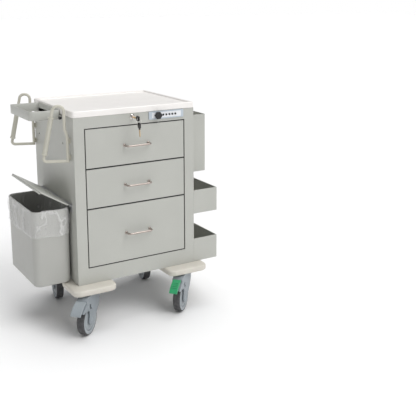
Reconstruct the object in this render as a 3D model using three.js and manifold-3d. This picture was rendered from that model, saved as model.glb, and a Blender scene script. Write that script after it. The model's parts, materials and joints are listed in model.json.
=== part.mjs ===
// Medication cart: a steel drawer cabinet on four braked swivel casters, with side bins, a waste bin,
// a sharps container ring, push handles, a key lock and a push-button lock.
// Millimetres. +X is the cart's right, +Y is its back, +Z is up and the floor is at Z = 0.
import * as THREE from 'three';
import { mergeVertices } from 'three/addons/utils/BufferGeometryUtils.js';
import Module from 'manifold-3d';

const wasm = await Module();
wasm.setup();

// ---------- Driving dimensions ----------
const GAP = 0.3; // air between pieces that meet
const SHEET = 2; // folded sheet steel
const BITE = 0.5; // how far joined shapes run into each other

const CABINET = { width: 540, depth: 460, bottom: 196, height: 688 };
const STILE = 44.5; // width of the frame beside the drawers
const TOP_RAIL = 46;
const BOTTOM_RAIL = 66;
const FRAME_LIP = 14; // inward lips that carry the worktop
const FOOT_LIP = 20; // inward lips round the open bottom
const SILL_DEPTH = 20;
const WALL_HOLES = { radius: 4, places: [[120, 766], [405, 762]] }; // spare mounting holes, left wall
const WORKTOP = { thickness: 25, overhang: 2, corner: 12, lip: 14, recess: 7, edge: 3 };

const DRAWER_SHARES = [6, 6, 9]; // heights of the three fronts, from the top, in ratio
const DRAWER = { reveal: 3, frontDepth: 18, trayDepth: 400, trayGap: 13, trayDrop: 22, trayLift: 12 };
const SLIDE = { height: 24, lip: 2, start: 22, length: 418, runner: 9 };
const PULL = { span: 108, reach: 30, radius: 4, bend: 12 };

const KEY_LOCK = { x: -17, z: 15, rim: 11, plug: 7, barrel: 9.5, rimDepth: 3, depth: 24, tail: 6 };
const CAM = { width: 10, thick: 3, reach: 19, heel: 5 };
const KEY = {
  width: 22, length: 24, thick: 5.5, corner: 6, hole: 3, holeEdge: 5.5,
  blade: 8, bladeThick: 2, shank: 38, inLock: 18,
};
const KEY_RING = { radius: 10.5, wire: 0.9 };
const CODE_LOCK = { x: 137.5, z: 17.5, width: 161, height: 32, thick: 5, firstButton: 122.7, pitch: 14.1 };
const CODE_BUTTON = { radius: 4, proud: 3.5, hole: 4.4, pocket: 4, sunk: 1.4, dome: 1 };
const CODE_KNOB = {
  x: 95, width: 34, height: 29, depth: 13, spindle: 5, standOff: 4.2, flat: 0.42, edge: 3,
};

const SHELF = {
  front: 82, rear: 426, height: 28, board: 12, length: 360, guide: 10, guideInset: 20, play: 1.5,
};
const UPPER_BOX = {
  depth: 97, front: 66, rear: 381, top: 44, height: 255, margin: 30, corner: 25, divider: 235, drop: 6,
};
const SIDE_BIN = { depth: 118, front: 0, rear: 441, height: 104, midTop: 364.6 };

const HANDLE = { rod: 5, leg: 12, tilt: 22, arcIn: 21.5, arcOut: 61.4, reach: 108, bottom: 709, top: 928 };
const JOG = { low: 808, high: 838 }; // where the handle's leg steps away from the wall
const HANDLE_BENDS = [10, 10, 21.5, 21, 12];
const LUG = { heights: [724, 790], width: 14, height: 18 };
const WELD = 0.3; // how much a welded stub is fatter than its rod
const HANDLE_PLACES = { front: 34, rear: 445 };
const GRIP = { radius: 11, collar: 12.5, collarLength: 5, low: 736, high: 884, ribs: 7 };
const RING = {
  front: 134, rear: 388, outer: 136, height: 37, top: 900, band: 3, corner: 25,
  wing: 34, bar: 16, fromWall: 2.6,
};

const BIN = {
  gap: 5, depth: 156, front: 50, rear: 385, bottom: 200, rim: 514, corner: 30, wall: 3, taper: 0.985,
};
const LINER = { film: 1, clear: 0.6, cuff: 95, floor: 5 };
const LID = {
  front: 40, rear: 395, length: 143, open: 31, sheet: 2, lip: 8, barrel: 4, pin: 2, above: 11,
};

const BUMPER = {
  width: 186, depth: 172, thickness: 25.7, corner: 32, edge: 7, side: 38, front: 60, rear: 30,
};
const CASTER = { x: 218, front: 0, rear: 430, top: 170, trail: 47, frontTurn: 222, rearTurn: 262 };
const WHEEL = { radius: 62.5, width: 32, bore: 5.4, sides: 32 };
const FORK = { inner: 17.5, outer: 22.5, axle: 5, stem: 10, stemHole: 10.6, stemTop: 188 };
const PEDAL_HALF = 15; // half the pedal's width
// Side outlines in the plane of the wheel: x runs from the swivel axis towards the pedal, z is up.
const FORK_FRONT = [[-33, 130], [-18, 98], [29, 51]];
const FORK_HUB = 21.5;
const HUB_ARC = [213, 405]; // where the fork's outline leaves and rejoins its arms, degrees
const FORK_UNDER = [[30, 112], [44, 124], [62, 129], [90, 128], [117, 115]];
const FORK_TOP = [[123, 119.5], [108, 132.5], [87.5, 143.5], [86, 155],
  [60, 165.5], [34, 169.6], [-33, 169.6]];
const WHEEL_SPACE = [[-22, 20], [130, 20], [130, 117.5], [117, 117.5],
  [102, 129], [84, 137], [60, 143], [-22, 146]];
const PEDAL_OUTLINE = [[90.5, 149], [108, 140.5], [128, 129], [143, 118.5], [147, 124],
  [146, 130], [130, 142.5], [110, 151.5], [93, 157], [90.5, 155]];

const CABINET_TOP = CABINET.bottom + CABINET.height;
const HALF = CABINET.width / 2;
const OPENING = HALF - STILE;
const ZONE_LOW = CABINET.bottom + BOTTOM_RAIL;
const ZONE_HIGH = CABINET_TOP - TOP_RAIL;
const SHELF_FLOOR = ZONE_HIGH + SHEET;
const LOCK_Z = CABINET_TOP - KEY_LOCK.z;
const CODE_Z = CABINET_TOP - CODE_LOCK.z;

// ---------- Finishes ----------
const FINISH = {
  paint: { color: 0xbebfb7, roughness: 0.45, metalness: 0 },
  zinc: { color: 0xb4b6b4, roughness: 0.35, metalness: 0.9 },
  worktop: { color: 0xf5f1ec, roughness: 0.35, metalness: 0 },
  chrome: { color: 0xcfcac4, roughness: 0.15, metalness: 1 },
  blackPlastic: { color: 0x151515, roughness: 0.4, metalness: 0 },
  plate: { color: 0xa8b0b8, roughness: 0.35, metalness: 0.4 },
  cream: { color: 0xd6d2c6, roughness: 0.5, metalness: 0 },
  rod: { color: 0xc4c1b0, roughness: 0.4, metalness: 0 },
  grip: { color: 0xb9b6a6, roughness: 0.6, metalness: 0 },
  bag: { color: 0xd8dadb, roughness: 0.3, metalness: 0 },
  casterPlastic: { color: 0x8c969d, roughness: 0.5, metalness: 0 },
  wheel: { color: 0x6a6f73, roughness: 0.6, metalness: 0 },
  greenPlastic: { color: 0x2da064, roughness: 0.45, metalness: 0 },
};

// ---------- Solids ----------
function toSolid(geometry) {
  const bare = new THREE.BufferGeometry();
  bare.setAttribute('position', geometry.getAttribute('position'));
  if (geometry.index) bare.setIndex(geometry.index);
  const merged = mergeVertices(bare, 1e-4);
  const corners = merged.index.array;
  const kept = [];
  for (let i = 0; i < corners.length; i += 3) {
    const [a, b, c] = [corners[i], corners[i + 1], corners[i + 2]];
    if (a !== b && b !== c && c !== a) kept.push(a, b, c);
  }
  const mesh = new wasm.Mesh({
    numProp: 3,
    vertProperties: Float32Array.from(merged.getAttribute('position').array),
    triVerts: Uint32Array.from(kept),
  });
  return new wasm.Manifold(mesh);
}

function toGeometry(solid) {
  const mesh = solid.getMesh();
  const geometry = new THREE.BufferGeometry();
  geometry.setAttribute('position', new THREE.BufferAttribute(mesh.vertProperties, 3));
  geometry.setIndex(new THREE.BufferAttribute(mesh.triVerts, 1));
  geometry.computeVertexNormals();
  return geometry;
}

const join = (...solids) => solids.reduce((whole, next) => whole.add(next));
const cut = (base, ...tools) => tools.reduce((whole, next) => whole.subtract(next), base);
const span = (a, b) => [Math.min(a, b), Math.max(a, b)];
const SIDES = [-1, 1];

function block([x0, x1], [y0, y1], [z0, z1]) {
  const box = new THREE.BoxGeometry(x1 - x0, y1 - y0, z1 - z0);
  return toSolid(box.translate((x0 + x1) / 2, (y0 + y1) / 2, (z0 + z1) / 2));
}

function polygon(points) {
  return new THREE.Shape(points.map(([x, y]) => new THREE.Vector2(x, y)));
}

// Rectangle with rounded corners, in the order low-low, high-low, high-high, low-high.
function roundedRectangle([x0, x1], [y0, y1], radii) {
  const [a, b, c, d] = Array.isArray(radii) ? radii : [radii, radii, radii, radii];
  const shape = new THREE.Shape();
  shape.moveTo(x0 + a, y0);
  shape.lineTo(x1 - b, y0);
  shape.absarc(x1 - b, y0 + b, b, -Math.PI / 2, 0);
  shape.lineTo(x1, y1 - c);
  shape.absarc(x1 - c, y1 - c, c, 0, Math.PI / 2);
  shape.lineTo(x0 + d, y1);
  shape.absarc(x0 + d, y1 - d, d, Math.PI / 2, Math.PI);
  shape.lineTo(x0, y0 + a);
  shape.absarc(x0 + a, y0 + a, a, Math.PI, Math.PI * 1.5);
  return shape;
}

function circle(x, y, radius) {
  return new THREE.Shape().absarc(x, y, radius, 0, Math.PI * 2);
}

// Extrusions of a shape along Z, along Y (shape in X, Z) and along X (shape in Y, Z).
function extrude(shape, length, options) {
  return new THREE.ExtrudeGeometry(shape, { depth: length, bevelEnabled: false, curveSegments: 2, ...options });
}

function prismZ(shape, [z0, z1], options) {
  return toSolid(extrude(shape, z1 - z0, options).translate(0, 0, z0));
}

function prismY(shape, [y0, y1], options) {
  return toSolid(extrude(shape, y1 - y0, options).rotateX(Math.PI / 2).translate(0, y1, 0));
}

function prismX(shape, [x0, x1], options) {
  const axes = new THREE.Matrix4().makeBasis(
    new THREE.Vector3(0, 1, 0), new THREE.Vector3(0, 0, 1), new THREE.Vector3(1, 0, 0));
  return toSolid(extrude(shape, x1 - x0, options).applyMatrix4(axes).translate(x0, 0, 0));
}

const roundY = (x, z, radius, length, half = 8) => prismY(circle(x, z, radius), length, { curveSegments: half });

// Plate in the XY plane whose upper and lower edges are rounded over.
function softPlate(shape, [z0, z1], edge, segments) {
  const bevel = { bevelEnabled: true, bevelThickness: edge, bevelSize: edge, bevelOffset: -edge };
  const plate = extrude(shape, z1 - z0 - 2 * edge, { ...bevel, bevelSegments: segments });
  return toSolid(plate.translate(0, 0, z0 + edge));
}

// Block with rounded upright corners that narrows towards its lower end, about its own middle line.
function taperedBlock(xSpan, ySpan, [z0, z1], corner, taper) {
  const geometry = extrude(roundedRectangle(xSpan, ySpan, corner), z1 - z0).translate(0, 0, z0);
  const [cx, cy] = [(BIN_X[0] + BIN_X[1]) / 2, (BIN.front + BIN.rear) / 2];
  const place = geometry.getAttribute('position');
  for (let i = 0; i < place.count; i += 1) {
    const share = (place.getZ(i) - BIN.bottom) / (BIN.rim - BIN.bottom);
    const scale = taper + (1 - taper) * share;
    place.setXY(i, cx + (place.getX(i) - cx) * scale, cy + (place.getY(i) - cy) * scale);
  }
  return toSolid(geometry);
}

// Rod through given vertices: one cross-section at each vertex.
class BentRod extends THREE.Curve {
  constructor(vertices) {
    super();
    this.vertices = vertices;
  }

  getPoint(t, target = new THREE.Vector3()) {
    const place = t * (this.vertices.length - 1);
    const i = Math.min(Math.floor(place), this.vertices.length - 2);
    return target.lerpVectors(this.vertices[i], this.vertices[i + 1], place - i);
  }

  getPointAt(u, target) {
    return this.getPoint(u, target);
  }

  getTangent(t, target = new THREE.Vector3()) {
    const last = this.vertices.length - 1;
    const i = Math.round(t * last);
    const leg = Math.min(i, last - 1);
    const before = this.vertices[leg + 1].clone().sub(this.vertices[leg]);
    const after = this.vertices[Math.max(i, 1)].clone().sub(this.vertices[Math.max(i, 1) - 1]);
    return target.addVectors(before.normalize(), after.normalize()).normalize();
  }

  getTangentAt(u, target) {
    return this.getTangent(u, target);
  }
}

// Vertices along straight legs whose corners are bent to the given radii.
function bend(corners, radii) {
  const vertices = [corners[0]];
  for (let i = 1; i < corners.length - 1; i += 1) {
    const back = corners[i - 1].clone().sub(corners[i]).normalize();
    const ahead = corners[i + 1].clone().sub(corners[i]).normalize();
    const half = back.angleTo(ahead) / 2;
    const radius = radii[i - 1];
    const middle = back.clone().add(ahead).normalize();
    const centre = middle.multiplyScalar(radius / Math.sin(half)).add(corners[i]);
    const start = back.clone().multiplyScalar(radius / Math.tan(half)).add(corners[i]).sub(centre);
    const axis = new THREE.Vector3().crossVectors(ahead, back).normalize();
    const turn = Math.PI - 2 * half;
    const steps = Math.max(2, Math.ceil(turn / (Math.PI / 9)));
    for (let k = 0; k <= steps; k += 1) {
      vertices.push(start.clone().applyAxisAngle(axis, (turn * k) / steps).add(centre));
    }
  }
  vertices.push(corners.at(-1));
  return vertices;
}

function rod(vertices, radius) {
  const path = new BentRod(vertices);
  const options = { extrudePath: path, steps: vertices.length - 1, curveSegments: 5, bevelEnabled: false };
  return toSolid(new THREE.ExtrudeGeometry(circle(0, 0, radius), options));
}

function lathe(profile, sides, turn = 0) {
  const points = profile.map(([r, y]) => new THREE.Vector2(r, y));
  return toSolid(new THREE.LatheGeometry(points, sides, turn));
}

// ---------- Assembly ----------
const cart = new THREE.Group();

function add(name, solid, finish, parent = cart) {
  const mesh = new THREE.Mesh(toGeometry(solid), new THREE.MeshStandardMaterial(FINISH[finish]));
  mesh.name = name;
  parent.add(mesh);
  return mesh;
}

// ---------- Cabinet ----------
function cabinetShell() {
  const inner = HALF - SHEET;
  const rear = CABINET.depth - SHEET;
  const low = CABINET.bottom;
  const top = CABINET_TOP;
  const across = [-inner - BITE, inner + BITE];
  const along = [SHEET - BITE, rear + BITE];
  const walls = cut(
    block([-HALF, HALF], [0, CABINET.depth], [low, top]),
    block([-inner, inner], [SHEET, rear], [low - 1, top + 1]),
    block([-OPENING, OPENING], [-1, SHEET + 1], [ZONE_LOW, ZONE_HIGH]),
  );
  const liners = SIDES.map((side) =>
    block(span(side * OPENING, side * (OPENING + SHEET)), along, [low + 6, ZONE_HIGH + BITE]));
  const divider = block(across, along, [ZONE_HIGH, SHELF_FLOOR]);
  const sill = block([-OPENING - BITE, OPENING + BITE], [BITE, SILL_DEPTH], [ZONE_LOW - SHEET, ZONE_LOW]);
  const foot = cut(
    block(across, along, [low + BITE, low + SHEET + BITE]),
    block([-inner + FOOT_LIP, inner - FOOT_LIP], [FOOT_LIP + SHEET, rear - FOOT_LIP],
      [low - 1, low + SHEET + 2]),
  );
  const lips = [[along[0], SHEET + FRAME_LIP], [rear - FRAME_LIP, along[1]]].map((y) =>
    block(across, y, [top - SHEET - BITE, top - BITE]));
  const guides = [SHELF.front + SHELF.guideInset, SHELF.rear - SHELF.guideInset - SHELF.guide].map((y) =>
    block([HALF - SHELF.length - 10, inner - 4], [y, y + SHELF.guide],
      [SHELF_FLOOR - BITE, top - SHELF.height + 1]));
  const notch = block([inner - 1, HALF + 1], [SHELF.front, SHELF.rear], [top - SHELF.height, top + 1]);
  const lockHole = roundY(KEY_LOCK.x, LOCK_Z, KEY_LOCK.barrel + GAP, [-1, SHEET + 1]);
  const wallHoles = WALL_HOLES.places.map(([y, z]) =>
    prismX(circle(y, z, WALL_HOLES.radius), [-HALF - 1, -inner + 1], { curveSegments: 6 }));
  return cut(join(walls, ...liners, divider, sill, foot, ...lips, ...guides), notch, lockHole, ...wallHoles);
}

function basePan() {
  const x = HALF - SHEET - BITE;
  const y = [SHEET + BITE, CABINET.depth - SHEET - BITE];
  const z = CABINET.bottom + SHEET + BITE + GAP;
  const wall = SHEET;
  const hollow = block([-x + wall, x - wall], [y[0] + wall, y[1] - wall], [z + wall, z + 30]);
  const pan = block([-x, x], y, [z, z + 16]);
  const linerSlots = SIDES.map((side) =>
    block(span(side * (OPENING - 1), side * (OPENING + SHEET + 1)), [0, CABINET.depth],
      [z + wall + 1, z + 30]));
  return cut(pan, hollow, ...linerSlots);
}

function worktop() {
  const x = HALF + WORKTOP.overhang;
  const y = [-WORKTOP.overhang, CABINET.depth + WORKTOP.overhang];
  const z = [CABINET_TOP + GAP, CABINET_TOP + WORKTOP.thickness];
  const slab = softPlate(roundedRectangle([-x, x], y, WORKTOP.corner), z, WORKTOP.edge, 2);
  const lip = WORKTOP.lip;
  const tray = roundedRectangle([-x + lip, x - lip], [y[0] + lip, y[1] - lip], WORKTOP.corner / 2);
  return cut(slab, prismZ(tray, [z[1] - WORKTOP.recess, z[1] + 1]));
}

add('cabinet_shell', cabinetShell(), 'paint');
add('base_pan', basePan(), 'zinc');
add('worktop', worktop(), 'worktop');

// ---------- Drawers ----------
function drawerFront([low, high]) {
  const x = OPENING - DRAWER.reveal;
  const depth = DRAWER.frontDepth;
  return cut(
    block([-x, x], [0, depth], [low, high]),
    block([-x + SHEET, x - SHEET], [SHEET, depth + 1], [low + SHEET, high - SHEET]),
  );
}

function drawerTray([low, high], slideZ) {
  const x = OPENING - DRAWER.trayGap;
  const y = [DRAWER.frontDepth + GAP, DRAWER.frontDepth + GAP + DRAWER.trayDepth];
  const z = [low + DRAWER.trayLift, high - DRAWER.trayDrop];
  const tray = cut(
    block([-x, x], y, z),
    block([-x + SHEET, x - SHEET], [y[0] + SHEET, y[1] - SHEET], [z[0] + SHEET, z[1] + 1]),
  );
  const half = SLIDE.height / 2 - SLIDE.lip - 1;
  const runners = SIDES.map((side) =>
    block(span(side * (x - BITE), side * (x + SLIDE.runner)), [y[0] + 12, y[1]],
      [slideZ - half, slideZ + half]));
  return join(tray, ...runners);
}

// Channel on the cabinet's inner wall, open towards the drawer.
function slideRail(side, slideZ) {
  const wall = OPENING - GAP;
  const mouth = OPENING - DRAWER.trayGap + 1;
  const y = [SLIDE.start, SLIDE.start + SLIDE.length];
  const half = SLIDE.height / 2;
  return cut(
    block(span(side * mouth, side * wall), y, [slideZ - half, slideZ + half]),
    block(span(side * (mouth - 1), side * (wall - SLIDE.lip)), [y[0] - 1, y[1] + 1],
      [slideZ - half + SLIDE.lip, slideZ + half - SLIDE.lip]),
  );
}

// Bar handle bent from one rod: along X, standing out along -Y, feet on Y = 0.
function wirePull() {
  const half = PULL.span / 2;
  const corners = [[-half, -GAP], [-half, -PULL.reach], [half, -PULL.reach], [half, -GAP]];
  const places = corners.map(([x, y]) => new THREE.Vector3(x, y, 0));
  return rod(bend(places, [PULL.bend, PULL.bend]), PULL.radius);
}

const shareHeight = (ZONE_HIGH - ZONE_LOW) / DRAWER_SHARES.reduce((a, b) => a + b);
let drawerTop = ZONE_HIGH;
DRAWER_SHARES.forEach((share, index) => {
  const number = index + 1;
  const drawerLow = drawerTop - share * shareHeight;
  const isTop = index === 0;
  const isBottom = index === DRAWER_SHARES.length - 1;
  const face = [
    drawerLow + DRAWER.reveal / (isBottom ? 1 : 2),
    drawerTop - DRAWER.reveal / (isTop ? 1 : 2),
  ];
  const slideZ = (face[0] + face[1]) / 2;
  add(`drawer_front_${number}`, drawerFront(face), 'paint');
  add(`drawer_tray_${number}`, drawerTray(face, slideZ), 'zinc');
  add(`drawer_pull_${number}`, wirePull(), 'chrome').position.set(0, 0, slideZ);
  add(`slide_rail_${number}_left`, slideRail(-1, slideZ), 'zinc');
  add(`slide_rail_${number}_right`, slideRail(1, slideZ), 'zinc');
  drawerTop = drawerLow;
});

// ---------- Key lock ----------
function lockBarrel() {
  const rim = roundY(KEY_LOCK.x, LOCK_Z, KEY_LOCK.rim, [-KEY_LOCK.rimDepth, -GAP]);
  const barrelSpan = [-KEY_LOCK.rimDepth + BITE, KEY_LOCK.depth - KEY_LOCK.tail];
  const barrel = roundY(KEY_LOCK.x, LOCK_Z, KEY_LOCK.barrel, barrelSpan);
  const bore = roundY(KEY_LOCK.x, LOCK_Z, KEY_LOCK.plug + GAP, [-KEY_LOCK.rimDepth - 1, KEY_LOCK.depth]);
  return cut(join(rim, barrel), bore);
}

// The part of the lock that turns, with the cam tongue on its inner end.
function lockPlug() {
  const { x, plug, rimDepth, depth } = KEY_LOCK;
  const body = roundY(x, LOCK_Z, plug, [-rimDepth, depth - 2]);
  const cam = block([x - CAM.width / 2, x + CAM.width / 2], [depth - 2 - CAM.thick, depth - 2],
    [LOCK_Z - CAM.reach, LOCK_Z + CAM.heel]);
  const [wide, high] = [KEY.bladeThick / 2 + GAP, KEY.blade / 2 + GAP];
  const keyway = block([x - wide, x + wide], [-rimDepth - 1, depth - 8], [LOCK_Z - high, LOCK_Z + high]);
  return cut(join(body, cam), keyway);
}

// Key in the YZ plane, its blade along +Y, its shoulder at Y = 0 and its bow towards -Y.
const keyHoleY = KEY.holeEdge - KEY.length - KEY.shank;

function keyShape() {
  const [w, t] = [KEY.width / 2, KEY.thick / 2];
  const bow = prismX(roundedRectangle([-KEY.length - KEY.shank, -KEY.shank], [-w, w], KEY.corner), [-t, t]);
  const hole = prismX(circle(keyHoleY, 0, KEY.hole), [-t - 1, t + 1], { curveSegments: 5 });
  const blade = block([-KEY.bladeThick / 2, KEY.bladeThick / 2], [-KEY.shank - BITE, KEY.inLock],
    [-KEY.blade / 2, KEY.blade / 2]);
  return cut(join(bow, blade), hole);
}

add('lock_barrel', lockBarrel(), 'chrome');
add('lock_plug', lockPlug(), 'chrome');
const keyShoulder = -KEY_LOCK.rimDepth;
add('key', keyShape(), 'blackPlastic').position.set(KEY_LOCK.x, keyShoulder, LOCK_Z);
const loop = new THREE.TorusGeometry(KEY_RING.radius, KEY_RING.wire, 6, 20);
const ringSolid = toSolid(loop.rotateX(Math.PI / 2));
const keyRing = add('key_ring', ringSolid, 'chrome');
keyRing.position.set(KEY_LOCK.x, keyShoulder + keyHoleY, LOCK_Z - KEY_RING.radius);

// ---------- Push-button lock ----------
const buttonXs = Array.from({ length: 5 }, (_, i) => CODE_LOCK.firstButton + i * CODE_LOCK.pitch);
const plateFace = -GAP - CODE_LOCK.thick;

function codePlate() {
  const w = CODE_LOCK.width / 2;
  const h = CODE_LOCK.height / 2;
  const outline = roundedRectangle([CODE_LOCK.x - w, CODE_LOCK.x + w], [CODE_Z - h, CODE_Z + h], 3);
  const plate = prismY(outline, [plateFace, -GAP]);
  const pocket = [plateFace - 1, plateFace + CODE_BUTTON.pocket];
  const holes = buttonXs.map((x) => roundY(x, CODE_Z, CODE_BUTTON.hole, pocket, 6));
  const knobHole = roundY(CODE_KNOB.x, CODE_Z, CODE_KNOB.spindle + GAP, pocket, 6);
  return cut(plate, ...holes, knobHole);
}

// Six-sided turn knob on a round spindle.
function codeKnob() {
  const [w, h] = [CODE_KNOB.width / 2, CODE_KNOB.height / 2];
  const flat = w * CODE_KNOB.flat;
  const outline = polygon([[w, 0], [flat, h], [-flat, h], [-w, 0], [-flat, -h], [flat, -h]]);
  const edge = CODE_KNOB.edge;
  const bevel = {
    bevelEnabled: true, bevelThickness: edge, bevelSize: edge, bevelOffset: -edge, bevelSegments: 2,
  };
  const back = plateFace - CODE_KNOB.standOff;
  const head = prismY(outline, [back - CODE_KNOB.depth + edge, back - edge], bevel);
  const spindleEnd = plateFace + CODE_BUTTON.pocket - BITE;
  const spindle = roundY(0, 0, CODE_KNOB.spindle, [back - edge - 1, spindleEnd], 6);
  return join(head, spindle);
}

function codeButton() {
  const outer = plateFace - CODE_BUTTON.proud;
  const inner = plateFace + CODE_BUTTON.sunk;
  const [r, dome] = [CODE_BUTTON.radius, CODE_BUTTON.dome];
  const profile = [[0, -inner], [r, -inner], [r, -outer - dome], [r - dome, -outer], [0, -outer]];
  return lathe(profile, 12).rotate([180, 0, 0]);
}

add('code_plate', codePlate(), 'plate');
add('code_knob', codeKnob(), 'blackPlastic').position.set(CODE_KNOB.x, 0, CODE_Z);
buttonXs.forEach((x, i) => {
  add(`code_button_${i + 1}`, codeButton(), 'blackPlastic').position.set(x, 0, CODE_Z);
});

// ---------- Pull-out writing shelf ----------
function writingShelf() {
  const face = HALF;
  const { play, length, board: thick } = SHELF;
  const low = CABINET_TOP - SHELF.height + play;
  const y = [SHELF.front + play, SHELF.rear - play];
  const board = block([face - length, face - SHEET], [y[0] + 2 * play, y[1] - 2 * play], [low, low + thick]);
  const panel = block([face - 2 * SHEET, face], y, [low, CABINET_TOP - play]);
  return join(board, panel);
}

add('writing_shelf', writingShelf(), 'paint');
const shelfPull = add('shelf_pull', wirePull(), 'chrome');
shelfPull.rotation.z = Math.PI / 2;
shelfPull.position.set(HALF, (SHELF.front + SHELF.rear) / 2, CABINET_TOP - SHELF.height / 2);

// ---------- Bins on the right side ----------
function openBox(x, y, z) {
  const hollow = block([x[0] + SHEET, x[1] - SHEET], [y[0] + SHEET, y[1] - SHEET], [z[0] + SHEET, z[1] + 1]);
  return cut(block(x, y, z), hollow);
}

// Tall box with a big rounded window in its outer wall and one divider.
function upperBox() {
  const x = [HALF + GAP, HALF + UPPER_BOX.depth];
  const top = CABINET_TOP - UPPER_BOX.top;
  const z = [top - UPPER_BOX.height, top];
  const m = UPPER_BOX.margin;
  const y = [UPPER_BOX.front, UPPER_BOX.rear];
  const window = roundedRectangle([y[0] + m, y[1] - m], [z[0] + m, z[1] - m], UPPER_BOX.corner);
  const divider = block([x[0] + 1, x[1] - 1], [UPPER_BOX.divider, UPPER_BOX.divider + SHEET],
    [z[0] + 1, z[1] - UPPER_BOX.drop]);
  const shell = cut(openBox(x, y, z), prismX(window, [x[1] - SHEET - 1, x[1] + 1]));
  return join(shell, divider);
}

function sideBin(top) {
  const x = [HALF + GAP, HALF + SIDE_BIN.depth];
  return openBox(x, [SIDE_BIN.front, SIDE_BIN.rear], [top - SIDE_BIN.height, top]);
}

add('upper_side_box', upperBox(), 'paint');
add('middle_side_bin', sideBin(CABINET_TOP - SIDE_BIN.midTop), 'paint');
add('lower_side_bin', sideBin(CABINET.bottom + SIDE_BIN.height + BITE), 'paint');

// ---------- Push handles on the left side ----------
// A handle lies in its own upright plane: u runs out from the wall, and the plane's outer edge leans back.
const leanBack = THREE.MathUtils.degToRad(HANDLE.tilt);
const inHandlePlane = ([u, z]) => new THREE.Vector3(-u * Math.cos(leanBack), u * Math.sin(leanBack), z);

function pushHandle() {
  const { rod: rodRadius, leg, arcIn, arcOut, reach, bottom, top } = HANDLE;
  const near = [[leg, bottom], [leg, JOG.low], [arcIn, JOG.high], [arcIn, top]];
  const far = [[arcOut, top], [reach, bottom], [leg + 4 * rodRadius, bottom]];
  const bar = rod(bend([...near, ...far].map(inHandlePlane), HANDLE_BENDS), rodRadius);
  const stub = (...ends) => rod(ends.map(inHandlePlane), rodRadius + WELD);
  const closing = stub([leg + 4 * rodRadius + 1, bottom], [leg, bottom]);
  const toe = stub([leg, bottom + 2 * rodRadius + 2], [leg, bottom - rodRadius]);
  const foot = inHandlePlane([leg, 0]);
  const [w, h] = [LUG.width / 2, LUG.height / 2];
  const lugs = LUG.heights.map((z) => block([foot.x, -GAP], [foot.y - w, foot.y + w], [z - h, z + h]));
  return join(bar, closing, toe, ...lugs);
}

// Ribbed sleeve round the handle's sloping leg, with a collar at each end.
function handleGrip() {
  const { reach, bottom, top, arcOut } = HANDLE;
  const { radius, collar, collarLength, ribs } = GRIP;
  const from = new THREE.Vector2(reach, bottom);
  const direction = new THREE.Vector2(arcOut, top).sub(from).normalize();
  const length = (GRIP.high - GRIP.low) / direction.y;
  const pitch = (length - 2 * collarLength - 2) / ribs;
  const outer = [[collar, 0], [collar, collarLength]];
  for (let i = 0; i < ribs; i += 1) {
    const y = collarLength + 1 + i * pitch;
    outer.push([radius - 1, y], [radius, y + pitch / 2]);
  }
  outer.push([radius - 1, length - collarLength - 1], [collar, length - collarLength], [collar, length]);
  const bore = HANDLE.rod + GAP;
  const sleeve = lathe([[bore, 0], ...outer, [bore, length], [bore, 0]], 12);
  const origin = from.clone().addScaledVector(direction, (GRIP.low - bottom) / direction.y);
  const up = inHandlePlane([direction.x, direction.y]).normalize();
  const turn = new THREE.Quaternion().setFromUnitVectors(new THREE.Vector3(0, 1, 0), up);
  return { sleeve, turn, origin: inHandlePlane([origin.x, origin.y]) };
}

for (const [place, y] of Object.entries(HANDLE_PLACES)) {
  const mount = new THREE.Group();
  mount.position.set(-HALF, y, 0);
  add(`push_handle_${place}`, pushHandle(), 'rod', mount);
  const { sleeve, turn, origin } = handleGrip();
  const grip = add(`handle_grip_${place}`, sleeve, 'grip', mount);
  grip.quaternion.copy(turn);
  grip.position.copy(origin);
  cart.add(mount);
}

// ---------- Sharps container ring ----------
function sharpsRing() {
  const wallSide = -HALF - RING.fromWall;
  const x = [-HALF - RING.outer, wallSide];
  const y = [RING.front, RING.rear];
  const z = [RING.top - RING.height, RING.top];
  const b = RING.band;
  const c = RING.corner;
  const outline = roundedRectangle(x, y, [c, 4, 4, 6]);
  const inside = roundedRectangle([x[0] + b, x[1] - b], [y[0] + b, y[1] - b], [c - b, 2, 2, 3]);
  const band = cut(prismZ(outline, z), prismZ(inside, [z[0] - 1, z[1] + 1]));
  const barY = [y[0] - RING.wing, y[1] + RING.wing];
  const bar = block([wallSide - b, -HALF - GAP], barY, [z[0], z[0] + RING.bar]);
  return join(band, bar);
}

add('sharps_ring', sharpsRing(), 'paint');

// ---------- Waste bin with bag and lid ----------
const BIN_X = [-HALF - BIN.gap - BIN.depth, -HALF - BIN.gap];

// Outline of the bin grown (or, with a minus sign, shrunk) all round.
function binBlock(grow, z) {
  const x = [BIN_X[0] - grow, BIN_X[1] + grow];
  const y = [BIN.front - grow, BIN.rear + grow];
  return taperedBlock(x, y, z, BIN.corner + grow, BIN.taper);
}

function wasteBin() {
  const hollow = binBlock(-BIN.wall, [BIN.bottom + BIN.wall, BIN.rim + 1]);
  return cut(binBlock(0, [BIN.bottom, BIN.rim]), hollow);
}

// The bag lines the bin, goes over its rim and hangs down outside as a cuff.
function binLiner() {
  const { film, clear, cuff, floor } = LINER;
  const rim = BIN.rim + clear;
  const over = cut(
    binBlock(clear + film, [BIN.rim - cuff, rim + film]),
    binBlock(clear, [BIN.rim - cuff - 1, rim]),
  );
  const bag = binBlock(-BIN.wall - clear, [BIN.bottom + floor, rim + film]);
  const hollow = binBlock(-BIN.wall - clear - film, [BIN.bottom + floor + film, rim + film + 1]);
  return cut(join(over, bag), hollow);
}

const hingeX = -HALF - LID.barrel - 3;
const hingeZ = BIN.rim + LID.above;
const knuckleLength = (LID.rear - LID.front) / 5;
const knuckle = (i) => [LID.front + i * knuckleLength + GAP, LID.front + (i + 1) * knuckleLength - GAP];

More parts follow.
